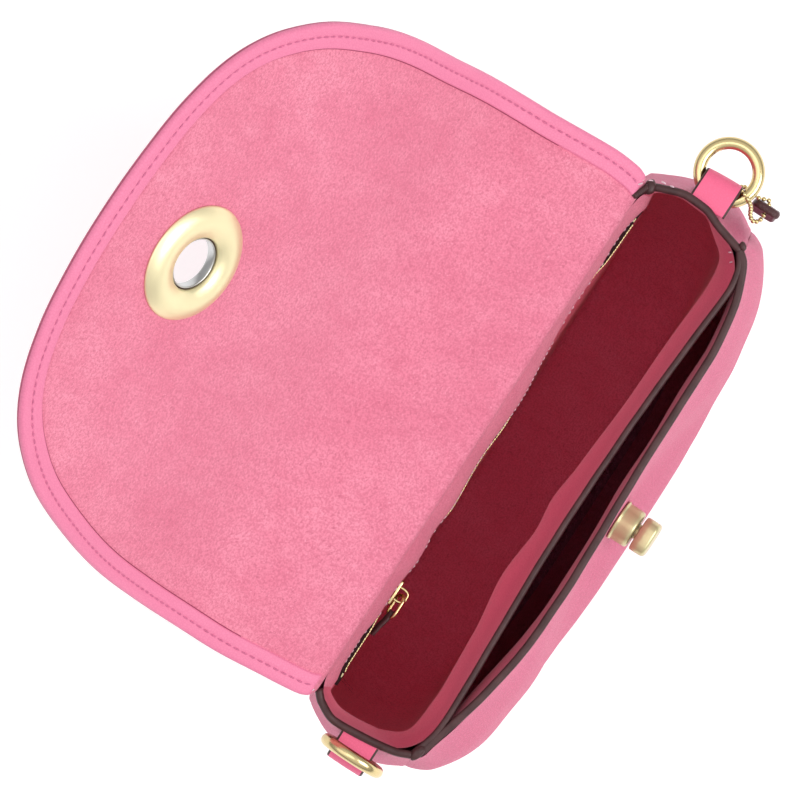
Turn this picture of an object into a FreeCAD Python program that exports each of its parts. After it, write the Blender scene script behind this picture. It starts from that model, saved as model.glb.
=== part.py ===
"""Small saddle-style crossbody purse standing upright with its flap folded open.

Millimetres.  +X runs along the bag's length, -Y is the front (the side with the
turn knob), +Z is up.  The origin is the centre of the flat base.
"""
import math
import os

import FreeCAD
import Part
from FreeCAD import Vector as V

os.makedirs("parts", exist_ok=True)

# ---------------------------------------------------------------- dimensions
H = 168.0                 # height of the rim above the base
LEATHER = 2.0             # body leather thickness
LINING = 0.8              # lining thickness
W_RIM = 97.0              # half width of the panels at the rim
BACK_Y = 18.0             # inside face of the back panel
GUS_BACK = 17.9           # gusset strip, back edge
GUS_FRONT = -18.5         # gusset strip, front edge
DIV_IN, DIV_OUT = -18.6, -20.4      # divider panel faces
F_EDGE = -23.1            # outer face of the front panel at its sewn edge
FRONT_T = 2.1             # front panel leather thickness

HINGE_Y, HINGE_Z = 19.0, 170.5      # crease between the back panel and the flap
A1, A2 = 20.0, 56.0       # flap directions above horizontal, top and front sections
FLAP_TOP = 54.0           # length of the top section, crease to fold
FLAP_LEN = 186.0          # crease to tip
HOLE_S = 139.3            # crease to the eyelet's centre
FLAP_LEATHER = 1.6
FLAP_INNER = 1.3
BORDER = 8.0              # width of the bound border

DISC_R = 19.0             # eyelet disc
BORE_R = 7.7              # eyelet's clear bore
SLEEVE_R = 8.7

CLOSE_TILT = 5.6          # lean of the closed flap and of the knob, from vertical
KNOB_FOOT_R, KNOB_END_R = 7.2, 6.4
KNOB_BASE_L = 7.2
NECK_R, NECK_L = 2.8, 1.2
HEAD_W, HEAD_H, HEAD_T = 12.6, 12.6, 5.7

RING_R, RING_WIRE = 10.0, 2.0       # mean radius and wire radius
TAB_Y = -3.0
TAB_W = 13.4
LOOP_X, LOOP_Z = 107.3, 161.0       # axis of each tab's loop
LOOP_IN, LOOP_OUT = 3.85, 5.65
RING_OFF = RING_R - 1.64            # loop axis to ring centre

ZIP_X0, ZIP_X1, ZIP_Z = -92.0, 88.0, 143.0
SLIDER_X = -58.0


# ------------------------------------------------------------------- helpers
def pchip(table, v):
    """Monotone cubic through (v, f) pairs sorted by v."""
    xs = [a for a, _ in table]
    ys = [b for _, b in table]
    n = len(xs)
    if v <= xs[0]:
        return ys[0]
    if v >= xs[-1]:
        return ys[-1]
    d = [(ys[i + 1] - ys[i]) / (xs[i + 1] - xs[i]) for i in range(n - 1)]
    m = [d[0]] + [0.0 if d[i - 1] * d[i] <= 0 else 2 * d[i - 1] * d[i] / (d[i - 1] + d[i])
                  for i in range(1, n - 1)] + [d[-1]]
    for i in range(n - 1):
        if v <= xs[i + 1]:
            h = xs[i + 1] - xs[i]
            t = (v - xs[i]) / h
            return ((2 * t ** 3 - 3 * t ** 2 + 1) * ys[i] + (t ** 3 - 2 * t ** 2 + t) * h * m[i]
                    + (-2 * t ** 3 + 3 * t ** 2) * ys[i + 1] + (t ** 3 - t ** 2) * h * m[i + 1])


def box(x0, x1, y0, y1, z0, z1):
    return Part.makeBox(x1 - x0, y1 - y0, z1 - z0, V(x0, y0, z0))


def cyl(r, p, d, l):
    return Part.makeCylinder(r, l, V(*p), V(*d))


def save(shape, node):
    if not shape.isValid():
        shape.fix(0.001, 0.001, 0.01)
    solids = shape.Solids
    if len(solids) == 1:
        shape = solids[0]
    else:
        shape = Part.makeCompound(solids)
    print("%-20s solids %d faces %4d vol %9.1f valid %s bb %s" % (
        node, len(solids), len(shape.Faces), shape.Volume, shape.isValid(),
        [round(t, 1) for t in (shape.BoundBox.XMin, shape.BoundBox.XMax, shape.BoundBox.YMin,
                               shape.BoundBox.YMax, shape.BoundBox.ZMin, shape.BoundBox.ZMax)]))
    shape.exportStep("parts/%s.step" % node)
    return shape


# --------------------------------------------------------- front-view outline
# right-hand side of the D outline, top to bottom, then the flat base
SIDE = [(95.6, 182.0), (W_RIM, H), (100.0, 150.0), (103.0, 130.0), (105.6, 110.0), (107.0, 92.0),
        (106.8, 74.0), (104.2, 54.0), (98.2, 36.0), (88.6, 20.5), (76.5, 9.0), (64.0, 2.2), (52.0, -0.4)]
HALF_W = sorted((z, x) for x, z in SIDE)


def half_w(z):
    return pchip(HALF_W, z)


def side_points(grow):
    """The side outline moved outward by grow(z)."""
    out = []
    n = len(SIDE)
    for i, (x, z) in enumerate(SIDE):
        a = SIDE[max(0, i - 1)]
        b = SIDE[min(n - 1, i + 1)]
        tx, tz = b[0] - a[0], b[1] - a[1]
        if i == n - 1:
            tx, tz = -1.0, 0.0
        l = math.hypot(tx, tz)
        nx, nz = -tz / l, tx / l
        g = grow(z)
        out.append((x + nx * g, z + nz * g))
    return out


def d_wire(y, grow):
    pts = side_points(grow)
    r = Part.BSplineCurve()
    r.interpolate([V(x, y, z) for x, z in pts])
    l = Part.BSplineCurve()
    l.interpolate([V(-x, y, z) for x, z in reversed(pts)])
    e = pts[-1]
    t = pts[0]
    return Part.Wire([r.toShape(), Part.makeLine(V(e[0], y, e[1]), V(-e[0], y, e[1])),
                      l.toShape(), Part.makeLine(V(-t[0], y, t[1]), V(t[0], y, t[1]))])


def d_prism(y0, y1, inset, top=H):
    f = Part.Face(d_wire(y0, lambda z: -inset))
    s = f.extrude(V(0, y1 - y0, 0))
    return s.common(box(-150, 150, min(y0, y1) - 1, max(y0, y1) + 1, 0.3, top))


BULGE = [(-1, 0.0), (3, 0.6), (12, 2.2), (30, 4.0), (60, 4.9), (100, 5.0), (150, 5.2), (168, 5.5), (182, 5.6)]


def gusset_loft(off):
    """Body of the gusset's outline, moved outward by off."""
    w0 = d_wire(GUS_BACK, lambda z: off - 1.0 * min(1.0, max(0.0, (z - 20.0) / 60.0)))
    w1 = d_wire(-0.3, lambda z: off + pchip(BULGE, z))
    w2 = d_wire(GUS_FRONT, lambda z: off)
    return Part.makeLoft([w0, w1, w2], True, False)


# ------------------------------------------------------------- gusset and base
outer = gusset_loft(0.0)
gusset = outer.cut(gusset_loft(-LEATHER))
clip = box(-150, 150, -60, 60, 0.0, H)
gusset = save(gusset.common(clip), "gusset")
lin = gusset_loft(-LEATHER - 0.05).cut(gusset_loft(-LEATHER - 0.05 - LINING))
gusset_lining = save(lin.common(box(-150, 150, GUS_FRONT + 0.9, GUS_BACK - 1.6, 0.5, H - 0.1)), "gusset_lining")
board = Part.makeBox(96, 31, 1.6, V(-48, -16.9, 3.1))
board = board.makeFillet(6.0, [e for e in board.Edges if abs(e.Vertexes[0].Z - e.Vertexes[1].Z) > 1])
save(board, "base_board")

# ------------------------------------------------------------------ back panel
back = d_prism(BACK_Y, BACK_Y + LEATHER, 1.0, H - 1.2)
save(back, "back_panel")


# inside lining of the back wall, bowed forward around the zip pocket
def back_face(z):
    return pchip([(-5, 14.6), (10, 14.2), (40, 12.6), (100, 12.3), (134, 12.5), (147, 12.5), (152, 12.9),
                  (160, 14.9), (168, 16.2), (185, 16.4)], z)


def slab(yf, t, grow=1.03, zs=None):
    """Sheet between y = yf(x, z) and yf + t, wider and taller than the D outline."""
    zs = zs or [-3, -0.5, 1, 3, 5.5, 9, 13, 18, 25, 33, 43, 55, 68, 82, 96, 110, 124, 138, 150, 160, 170, 181]
    us = [-1 + 2 * i / 36.0 for i in range(37)]
    grid = [[V(u * grow * half_w(z), yf(u * grow * half_w(z), z), z) for z in zs] for u in us]
    s = Part.BSplineSurface()
    s.interpolate(grid)
    return s.toShape().extrude(V(0, t, 0))


pts = [V(0, back_face(z), z) for z in (0.5, 10, 25, 40, 60, 80, 100, 118, 134, 147, 149.5, 152, 155, 160, 164, 167.9)]
cv = Part.BSplineCurve()
cv.interpolate(pts)
sheet = cv.toShape().extrude(V(200, 0, 0))
sheet.translate(V(-100, 0, 0))
lining_body = sheet.extrude(V(0, LINING, 0))
inner_d = gusset_loft(-LEATHER - 0.2 - LINING)
back_lining = lining_body.common(inner_d)
back_lining = back_lining.cut(box(ZIP_X0, ZIP_X1, 5, 20, ZIP_Z - 3.0, ZIP_Z + 3.0))
save(back_lining, "back_lining")

# ------------------------------------------------------------------ zip pocket
TAPE_Y = 13.5
save(box(ZIP_X0 - 2, ZIP_X1 + 2, TAPE_Y, TAPE_Y + 0.6, ZIP_Z + 0.95, ZIP_Z + 7.0), "zip_tape_upper")
save(box(ZIP_X0 - 2, ZIP_X1 + 2, TAPE_Y, TAPE_Y + 0.6, ZIP_Z - 7.0, ZIP_Z - 0.95), "zip_tape_lower")
save(box(ZIP_X0 + 3.2, ZIP_X1 - 3.2, TAPE_Y - 0.5, TAPE_Y + 0.9, ZIP_Z - 0.85, ZIP_Z + 0.85), "zip_teeth")
stop = box(ZIP_X0 + 1.0, ZIP_X0 + 3.0, TAPE_Y - 0.6, TAPE_Y - 0.02, ZIP_Z - 2.2, ZIP_Z + 2.2)
stop2 = box(ZIP_X1 - 3.0, ZIP_X1 - 1.0, TAPE_Y - 0.6, TAPE_Y - 0.02, ZIP_Z - 2.2, ZIP_Z + 2.2)
save(Part.makeCompound([stop, stop2]), "zip_stops")
bag = box(-88, 84, 14.75, 17.35, 52, 152).cut(box(-87.2, 83.2, 15.45, 16.65, 52.8, 160))
save(bag, "zip_pocket_bag")

slider = box(SLIDER_X - 4.5, SLIDER_X + 4.5, 11.3, 12.75, ZIP_Z - 2.7, ZIP_Z + 2.7)
slider = slider.makeFillet(1.2, [e for e in slider.Edges if abs(e.Vertexes[0].Y - e.Vertexes[1].Y) > 1])
bail = box(SLIDER_X - 3.2, SLIDER_X + 3.2, 6.6, 11.4, ZIP_Z - 0.5, ZIP_Z + 0.5)
bail = bail.makeFillet(1.4, [e for e in bail.Edges
                             if abs(e.Vertexes[0].Z - e.Vertexes[1].Z) > 0.8 and e.Vertexes[0].Y < 8])
bail = bail.cut(box(SLIDER_X - 2.3, SLIDER_X + 2.3, 7.5, 11.3, ZIP_Z - 2, ZIP_Z + 2))
save(slider.fuse(bail).removeSplitter(), "zip_slider")

# pull link: a stadium of wire lying along -X, leaning forward
LEAN = math.radians(30.0)
lw, ll, wr = 2.5, 4.3, 0.55         # half width, half length of the centreline, wire radius
link = None
path = Part.Wire([Part.makeLine(V(-2 * ll + lw, 0, lw), V(-lw, 0, lw)),
                  Part.Arc(V(-lw, 0, lw), V(0, 0, 0), V(-lw, 0, -lw)).toShape(),
                  Part.makeLine(V(-lw, 0, -lw), V(-2 * ll + lw, 0, -lw)),
                  Part.Arc(V(-2 * ll + lw, 0, -lw), V(-2 * ll, 0, 0), V(-2 * ll + lw, 0, lw)).toShape()])
prof = Part.Wire(Part.Circle(V(-2 * ll + lw, 0, lw), V(1, 0, 0), wr).toShape())
link = path.makePipeShell([prof], True, False)
pull = box(-2 * ll - 9.0, -2 * ll + 3.6, -1.35, 1.35, -1.6, 1.6).cut(
    box(-2 * ll - 1.2, -2 * ll + 1.2, -0.8, 0.8, -3, 3))
pull = pull.makeFillet(1.0, [e for e in pull.Edges
                             if abs(e.Vertexes[0].Y - e.Vertexes[1].Y) > 2 and e.Vertexes[0].X < -2 * ll - 5])
PULL_P = V(SLIDER_X + 0.35, 9.05, ZIP_Z)
for s, name in ((link, "zip_pull_link"), (pull, "zip_pull_tab")):
    s.rotate(V(0, 0, 0), V(1, 0, 0), math.degrees(LEAN))
    s.translate(PULL_P)
    save(s, name)

# --------------------------------------------------------- divider, front panel
divider = d_prism(DIV_OUT, DIV_IN, 0.6)
save(divider, "divider_panel")
dl = gusset_loft(-LEATHER - 0.05 - LINING - 0.1).common(box(-150, 150, DIV_IN + 0.15, DIV_IN + 0.9, 1, H - 0.1))
save(dl, "divider_lining")

# How far the front panel bows out: low down in the middle, half way up at the ends.
DOME_MID = [(-5, 0.0), (0, 0.6), (3, 4.2), (7, 8.8), (13, 14.2), (20, 18.4), (28, 20.9), (36, 21.7), (46, 21.0),
            (58, 18.6), (72, 14.9), (85, 12.4), (100, 11.4), (120, 10.8), (145, 10.2), (168, 9.6), (184, 9.2)]
DOME_END = [(-5, 0.0), (0, 0.6), (4, 4.6), (10, 9.0), (20, 13.2), (35, 16.9), (55, 19.2), (72, 19.7), (83, 19.2),
            (95, 17.8), (110, 15.8), (130, 13.2), (150, 11.0), (168, 9.6), (184, 8.8)]


def dome(x, z):
    s = abs(x) / half_w(z)
    t = min(1.0, max(0.0, (abs(x) - 18.0) / 52.0))
    k = t * t * (3 - 2 * t)
    d = pchip(DOME_MID, z) * (1 - k) + pchip(DOME_END, z) * k
    return F_EDGE - d * (1 - s ** (4.8 if x > 0 else 6.5))


front = slab(dome, FRONT_T).common(d_prism(-60, 10, 0.6))
front_foot_hole = None
K_AX = V(0, -math.cos(math.radians(CLOSE_TILT)), math.sin(math.radians(CLOSE_TILT)))   # knob axis, outward
ct, st = math.cos(math.radians(CLOSE_TILT)), math.sin(math.radians(CLOSE_TILT))
FOLD_CL = V(0, HINGE_Y - FLAP_TOP, HINGE_Z)                     # fold when closed
HOLE_CL = FOLD_CL + V(0, -st, -ct) * (HOLE_S - FLAP_TOP)         # eyelet centre when closed
t_hit = (dome(0, 85.0) - HOLE_CL.y) / (-K_AX.y)                  # back along the axis to the panel
KNOB_P = HOLE_CL - K_AX * (t_hit - 0.35)                         # foot of the knob, just off the leather
print("hole closed", HOLE_CL, "knob foot", KNOB_P, "panel", dome(0, KNOB_P.z))
shank = Part.makeCylinder(2.2, 12.0, KNOB_P - K_AX * 9.0, K_AX)
front = front.cut(Part.makeCylinder(2.3, 14.0, KNOB_P - K_AX * 10.0, K_AX))
front = front.cut(Part.makeCylinder(KNOB_FOOT_R + 0.1, 6.0, KNOB_P - K_AX * 0.02, K_AX))    # flat seats
front = front.cut(Part.makeCylinder(8.1, 4.0, KNOB_P - K_AX * 7.5, K_AX))
save(front, "front_panel")
fl = slab(lambda x, z: dome(x, z) + FRONT_T + 0.08, LINING).common(d_prism(-60, 10, 13.0, H - 0.1))
fl = fl.cut(Part.makeCylinder(9.0, 14.0, KNOB_P - K_AX * 10.0, K_AX))
save(fl, "front_lining")

# ------------------------------------------------------------------- turn knob
base = Part.makeCone(KNOB_FOOT_R, KNOB_END_R, KNOB_BASE_L, KNOB_P, K_AX)
base = base.cut(Part.makeCylinder(NECK_R + 0.1, 20, KNOB_P + K_AX * 2.4, K_AX))
base = base.cut(Part.makeCylinder(5.0, 1.6, KNOB_P + K_AX * 0.6, K_AX))
shank_part = Part.makeCylinder(2.2, 5.4, KNOB_P - K_AX * 4.8, K_AX)
base = base.fuse(shank_part)
save(base.removeSplitter(), "knob_base")
mag = Part.makeCylinder(4.9, 1.4, KNOB_P + K_AX * 0.7, K_AX)
save(mag, "knob_magnet")
wash = Part.makeCylinder(8.0, 0.9, KNOB_P - K_AX * 4.5, K_AX).cut(
    Part.makeCylinder(2.25, 4, KNOB_P - K_AX * 6, K_AX))
save(wash, "knob_washer")
head_c = KNOB_P + K_AX * (KNOB_BASE_L + NECK_L + HEAD_T / 2)
head = Part.makeBox(HEAD_W, HEAD_T, HEAD_H, V(-HEAD_W / 2, -HEAD_T / 2, -HEAD_H / 2))
head = head.makeFillet(3.2, [e for e in head.Edges if abs(e.Vertexes[0].Y - e.Vertexes[1].Y) > 1])
head = head.makeFillet(1.4, head.Faces[0].Edges and [e for e in head.Edges
                                                      if abs(e.BoundBox.YMin - e.BoundBox.YMax) < 1e-6])
neck = Part.makeCylinder(NECK_R, NECK_L + 4.6 + 0.5, V(0, HEAD_T / 2 - 0.5, 0), V(0, 1, 0))
head = head.fuse(neck).removeSplitter()
head.rotate(V(0, 0, 0), V(1, 0, 0), -CLOSE_TILT)
head.translate(head_c)
save(head, "knob_head")

# ------------------------------------------------------------------------ flap
# half width against distance from the crease
FLAP_W = [(0, 99.0), (4, 100.4), (14, 101.0), (28, 101.0), (42, 100.7), (54, 100.1), (65, 99.3), (75, 98.3),
          (85, 97.2), (95, 96.0), (104, 94.6), (114, 92.5), (123, 90.1), (132, 87.2), (141, 83.7),
          (149, 79.6), (155, 75.8), (161, 71.3), (166.5, 66.2), (171, 61.0), (175, 55.0), (178, 49.0),
          (180.6, 42.0), (182.8, 34.0), (184.3, 25.0), (185.5, 14.0), (186.0, 0.0)]


def flap_outline(s0, s1, inset):
    """Closed outline (x, s) of the flap between two distances, moved inward by inset."""
    src = [(s, w) for s, w in FLAP_W]
    n = len(src)
    side = []
    for i, (s, w) in enumerate(src):
        a = src[max(0, i - 1)]
        b = src[min(n - 1, i + 1)]
        ts, tw = b[0] - a[0], b[1] - a[1]
        if i == n - 1:
            ts, tw = 0.0, -1.0
        l = math.hypot(ts, tw)
        # inward normal of the right side: towards -x and -s
        ns, nw = tw / l, -ts / l
        side.append((s + ns * inset, w + nw * inset))
    side[-1] = (side[-1][0], 0.0)
    return side


def flap_wire(s0, inset):
    side = [p for p in flap_outline(0, 0, inset) if p[0] > s0 + 2.0]
    w0 = pchip([(s, w) for s, w in flap_outline(0, 0, inset)][:22], s0)
    side = [(s0, w0)] + side
    pts = [V(w, s, 0) for s, w in side] + [V(-w, s, 0) for s, w in reversed(side[:-1])]
    c = Part.BSplineCurve()
    c.interpolate(pts)
    return Part.Wire([c.toShape(), Part.makeLine(pts[-1], pts[0])])


def flap_plate(s0, s1, inset, n0, n1):
    """Plate in the flap's own frame: x, s along the flap, n towards the lining side."""
    if s1 is None:
        p = Part.Face(flap_wire(s0, inset)).extrude(V(0, 0, n1 - n0))
    else:
        tab = [(s, w) for s, w in flap_outline(0, 0, inset)][:14]
        ss = [s0 + (s1 - s0) * i / 8.0 for i in range(9)]
        pts = [V(pchip(tab, s), s, 0) for s in ss]
        r = Part.BSplineCurve(); r.interpolate(pts)
        l = Part.BSplineCurve(); l.interpolate([V(-p.x, p.y, 0) for p in reversed(pts)])
        w = Part.Wire([r.toShape(), Part.makeLine(pts[-1], V(-pts[-1].x, s1, 0)), l.toShape(),
                       Part.makeLine(V(-pts[0].x, s0, 0), pts[0])])
        p = Part.Face(w).extrude(V(0, 0, n1 - n0))
    p.translate(V(0, 0, n0))
    return p


def place_top(shape):
    shape = shape.copy()
    shape.rotate(V(0, 0, 0), V(1, 0, 0), A1)
    shape.translate(V(0, HINGE_Y, HINGE_Z))
    return shape


FOLD = V(0, HINGE_Y + FLAP_TOP * math.cos(math.radians(A1)), HINGE_Z + FLAP_TOP * math.sin(math.radians(A1)))


def place_front(shape):
    """From the flap's own frame, s measured from the crease."""
    shape = shape.copy()
    shape.translate(V(0, -FLAP_TOP, 0))
    shape.rotate(V(0, 0, 0), V(1, 0, 0), A2)
    shape.translate(FOLD)
    return shape


G = 2.1                   # plates stop this far from the crease and from the fold
top_l = flap_plate(G, FLAP_TOP - G, 0.0, -FLAP_LEATHER, 0.0)
save(place_top(top_l), "flap_top_leather")
top_in = flap_plate(G, FLAP_TOP - G, BORDER, 0.05, FLAP_INNER)
save(place_top(top_in), "flap_top_lining")
top_b = flap_plate(G, FLAP_TOP - G, 0.0, 0.05, FLAP_INNER + 0.1).cut(
    flap_plate(G - 1, FLAP_TOP, BORDER - 0.05, 0.0, 3.0))
save(place_top(top_b), "flap_top_binding")

hole = Part.makeCylinder(SLEEVE_R + 0.1, 30, V(0, HOLE_S, -15), V(0, 0, 1))
front_l = flap_plate(FLAP_TOP + G, None, 0.0, -FLAP_LEATHER, 0.0).cut(hole)
save(place_front(front_l), "flap_front_leather")
front_in = flap_plate(FLAP_TOP + G, None, BORDER, 0.05, FLAP_INNER).cut(hole)
save(place_front(front_in), "flap_front_lining")
front_b = flap_plate(FLAP_TOP + G, None, 0.0, 0.05, FLAP_INNER + 0.1).cut(
    flap_plate(FLAP_TOP + G - 1.0, None, BORDER - 0.05, 0.0, 3.0))
save(place_front(front_b), "flap_front_binding")


# eyelet: sleeve and two discs
def ring_solid(profile):
    w = Part.makePolygon([V(r, 0, n) for r, n in profile] + [V(profile[0][0], 0, profile[0][1])])
    s = Part.Face(w).revolve(V(0, 0, 0), V(0, 0, 1), 360)
    s.translate(V(0, HOLE_S, 0))
    return s


DISC_T = 2.9
prof = [(SLEEVE_R + 0.05, FLAP_INNER + 0.05)]
prof += [(DISC_R, FLAP_INNER + 0.05), (DISC_R, FLAP_INNER + 0.5)]
for k in range(1, 9):
    a = math.pi * k / 9.0
    r = DISC_R - (DISC_R - SLEEVE_R - 0.05) * (1 - math.cos(a)) / 2
    prof.append((r, FLAP_INNER + 0.5 + (DISC_T - 0.5) * math.sin(a) ** 0.8))
prof.append((SLEEVE_R + 0.05, FLAP_INNER + 0.6))
save(place_front(ring_solid(prof)), "eyelet_inner_disc")
prof = [(SLEEVE_R + 0.05, -FLAP_LEATHER - 0.05), (DISC_R, -FLAP_LEATHER - 0.05), (DISC_R, -FLAP_LEATHER - 0.5)]
for k in range(1, 7):
    a = math.pi * k / 7.0
    r = DISC_R - (DISC_R - SLEEVE_R - 0.05) * (1 - math.cos(a)) / 2
    prof.append((r, -FLAP_LEATHER - 0.5 - 1.3 * math.sin(a) ** 0.8))
prof.append((SLEEVE_R + 0.05, -FLAP_LEATHER - 0.6))
save(place_front(ring_solid(prof)), "eyelet_outer_disc")
prof = [(BORE_R, -FLAP_LEATHER - 1.1), (SLEEVE_R, -FLAP_LEATHER - 1.1), (SLEEVE_R, FLAP_INNER + 1.3),
        (BORE_R, FLAP_INNER + 1.3)]
save(place_front(ring_solid(prof)), "eyelet_sleeve")

# ------------------------------------------------------- side tabs and D rings
tail = gusset_loft(1.8).cut(outer)


def tab(side):
    body = Part.makeCylinder(LOOP_OUT, TAB_W, V(LOOP_X, TAB_Y - TAB_W / 2, LOOP_Z), V(0, 1, 0)).fuse(
        box(90, LOOP_X, TAB_Y - TAB_W / 2, TAB_Y + TAB_W / 2, LOOP_Z - LOOP_OUT, LOOP_Z + LOOP_OUT))
    hole_ = Part.makeCylinder(LOOP_IN, TAB_W + 4, V(LOOP_X, TAB_Y - TAB_W / 2 - 2, LOOP_Z), V(0, 1, 0)).fuse(
        box(85, LOOP_X, TAB_Y - TAB_W, TAB_Y + TAB_W, LOOP_Z - LOOP_IN, LOOP_Z + LOOP_IN))
    u = body.cut(hole_).cut(outer)
    u = max(u.Solids, key=lambda s: 0).copy() if len(u.Solids) == 1 else Part.makeCompound(u.Solids)
    t = tail.common(box(90, 130, TAB_Y - TAB_W / 2, TAB_Y + TAB_W / 2, 134, LOOP_Z - LOOP_IN - 0.9))
    s = u.fuse(t).removeSplitter()
    if side < 0:
        s = s.mirror(V(0, 0, 0), V(1, 0, 0))
    return s


save(tab(1), "tab_right")
save(tab(-1), "tab_left")
RC = V(LOOP_X + RING_OFF, TAB_Y, LOOP_Z)
save(Part.makeTorus(RING_R, RING_WIRE, RC, V(0, 0, 1)), "ring_right")
save(Part.makeTorus(RING_R, RING_WIRE, V(-LOOP_X, TAB_Y, LOOP_Z + RING_OFF), V(1, 0, 0)), "ring_left")

# --------------------------------------------------------- ball chain, hang tag
ang = math.radians(257.0)
rad = V(math.cos(ang), math.sin(ang), 0)
P = RC + rad * RING_R
TAG_X, TAG_Y, TAG_Z = 112.4, -20.4, 150.6      # tag's hole
Q = V(TAG_X, TAG_Y, TAG_Z)
CH = 0.75
loop = [P + V(0, 0, 3.1), P + rad * 3.2 + V(0, 0, 0.2), P + rad * 3.6 + V(0.6, 0, -5.0),
        Q + V(2.9, 0.4, 3.6), Q + V(2.0, 0, 0.4), Q + V(-2.0, 0, 0.4), Q + V(-2.9, 0.6, 3.6),
        P + rad * -0.2 + V(-2.6, 0, -5.2), P - rad * 3.1 + V(0, 0, -0.2)]
cc = Part.BSplineCurve()
cc.interpolate(Points=loop, PeriodicFlag=True)
u0, u1 = cc.FirstParameter, cc.LastParameter
half = []
for ua, ub in ((u0, (u0 + u1) / 2), ((u0 + u1) / 2, u1)):
    e = Part.Edge(cc, ua, ub)
    half.append(Part.Wire([e]).makePipeShell(
        [Part.Wire(Part.Circle(e.valueAt(e.FirstParameter), e.tangentAt(e.FirstParameter), CH).toShape())], True, True))
print("chain halves", [h.Volume for h in half])
chain = Part.makeCompound(half)
save(chain, "ball_chain")
tag = box(TAG_X - 1.3, TAG_X + 1.3, TAG_Y - 4.8, TAG_Y + 4.8, TAG_Z - 34.0, TAG_Z + 3.6)
tag = tag.makeFillet(2.6, [e for e in tag.Edges if abs(e.Vertexes[0].X - e.Vertexes[1].X) > 1])
tag = tag.cut(Part.makeCylinder(1.9, 10, V(TAG_X - 5, TAG_Y, TAG_Z + 0.3), V(1, 0, 0)))
save(tag, "hang_tag")
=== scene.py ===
"""Looks for the crossbody purse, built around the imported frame.  Lengths in the
geometry code are millimetres and are scaled to metres when a mesh is made."""
import math

import bpy
import bmesh
import numpy as np
from mathutils import Matrix, Vector, geometry, noise


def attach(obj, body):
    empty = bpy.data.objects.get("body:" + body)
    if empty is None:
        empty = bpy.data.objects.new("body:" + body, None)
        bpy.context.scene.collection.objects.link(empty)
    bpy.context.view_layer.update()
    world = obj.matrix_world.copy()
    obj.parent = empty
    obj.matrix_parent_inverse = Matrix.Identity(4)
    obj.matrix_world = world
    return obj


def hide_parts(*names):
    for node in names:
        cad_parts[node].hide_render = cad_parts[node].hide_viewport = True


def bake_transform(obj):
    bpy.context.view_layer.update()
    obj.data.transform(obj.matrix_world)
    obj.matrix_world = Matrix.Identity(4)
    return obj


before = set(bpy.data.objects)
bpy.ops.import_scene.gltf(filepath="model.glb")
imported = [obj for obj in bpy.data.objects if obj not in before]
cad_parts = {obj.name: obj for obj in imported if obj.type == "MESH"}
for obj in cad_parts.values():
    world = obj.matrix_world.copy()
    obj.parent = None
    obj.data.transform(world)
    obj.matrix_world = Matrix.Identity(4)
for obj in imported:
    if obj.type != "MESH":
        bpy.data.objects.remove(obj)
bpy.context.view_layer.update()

MM = 0.001


# ------------------------------------------------------------------ small maths
def pchip(table, v):
    """Monotone cubic through (v, f) pairs sorted by v, for a number or an array."""
    xs = np.array([a for a, _ in table], float)
    ys = np.array([b for _, b in table], float)
    v = np.clip(np.asarray(v, float), xs[0], xs[-1])
    h = np.diff(xs)
    d = np.diff(ys) / h
    m = np.zeros(len(xs))
    m[0], m[-1] = d[0], d[-1]
    for i in range(1, len(xs) - 1):
        m[i] = 0.0 if d[i - 1] * d[i] <= 0 else 2 * d[i - 1] * d[i] / (d[i - 1] + d[i])
    i = np.clip(np.searchsorted(xs, v, side="right") - 1, 0, len(xs) - 2)
    t = (v - xs[i]) / h[i]
    return ((2 * t ** 3 - 3 * t ** 2 + 1) * ys[i] + (t ** 3 - 2 * t ** 2 + t) * h[i] * m[i]
            + (-2 * t ** 3 + 3 * t ** 2) * ys[i + 1] + (t ** 3 - t ** 2) * h[i] * m[i + 1])


def smooth(v, a, b):
    t = np.clip((np.asarray(v, float) - a) / (b - a), 0, 1)
    return t * t * (3 - 2 * t)


def spline(pts, step):
    """Natural cubic through points, chord-length parameter, resampled every step mm."""
    p = np.array(pts, float)
    n = len(p)
    t = np.r_[0, np.cumsum(np.linalg.norm(np.diff(p, axis=0), axis=1))]
    h = np.diff(t)
    A = np.zeros((n, n))
    r = np.zeros((n, p.shape[1]))
    A[0, 0] = A[-1, -1] = 1
    for i in range(1, n - 1):
        A[i, i - 1], A[i, i], A[i, i + 1] = h[i - 1], 2 * (h[i - 1] + h[i]), h[i]
        r[i] = 6 * ((p[i + 1] - p[i]) / h[i] - (p[i] - p[i - 1]) / h[i - 1])
    m = np.linalg.solve(A, r)
    q = np.linspace(0, t[-1], max(3, int(t[-1] / (step * 0.25))))
    i = np.clip(np.searchsorted(t, q, side="right") - 1, 0, n - 2)
    a, b = (t[i + 1] - q)[:, None], (q - t[i])[:, None]
    hh = h[i][:, None]
    c = (m[i] * a ** 3 + m[i + 1] * b ** 3) / (6 * hh) + (p[i] / hh - m[i] * hh / 6) * a + (p[i + 1] / hh - m[i + 1] * hh / 6) * b
    return resample(c, step)


def resample(c, step=None, count=None):
    c = np.asarray(c, float)
    s = np.r_[0, np.cumsum(np.linalg.norm(np.diff(c, axis=0), axis=1))]
    n = count or max(2, int(round(s[-1] / step)) + 1)
    q = np.linspace(0, s[-1], n)
    return np.stack([np.interp(q, s, c[:, k]) for k in range(c.shape[1])], 1)


def nz(x, y, z, scale, seed=0.0):
    """Smooth noise in -1..1 at points given in mm, features about scale mm wide."""
    x, y, z = np.broadcast_arrays(x, y, z)
    out = np.empty(x.shape)
    f, o = x.ravel(), out.ravel()
    g, k = y.ravel(), z.ravel()
    for i in range(f.size):
        o[i] = noise.noise(Vector((f[i] / scale + seed, g[i] / scale - seed, k[i] / scale + 2.3 * seed)))
    return o.reshape(x.shape)


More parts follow.
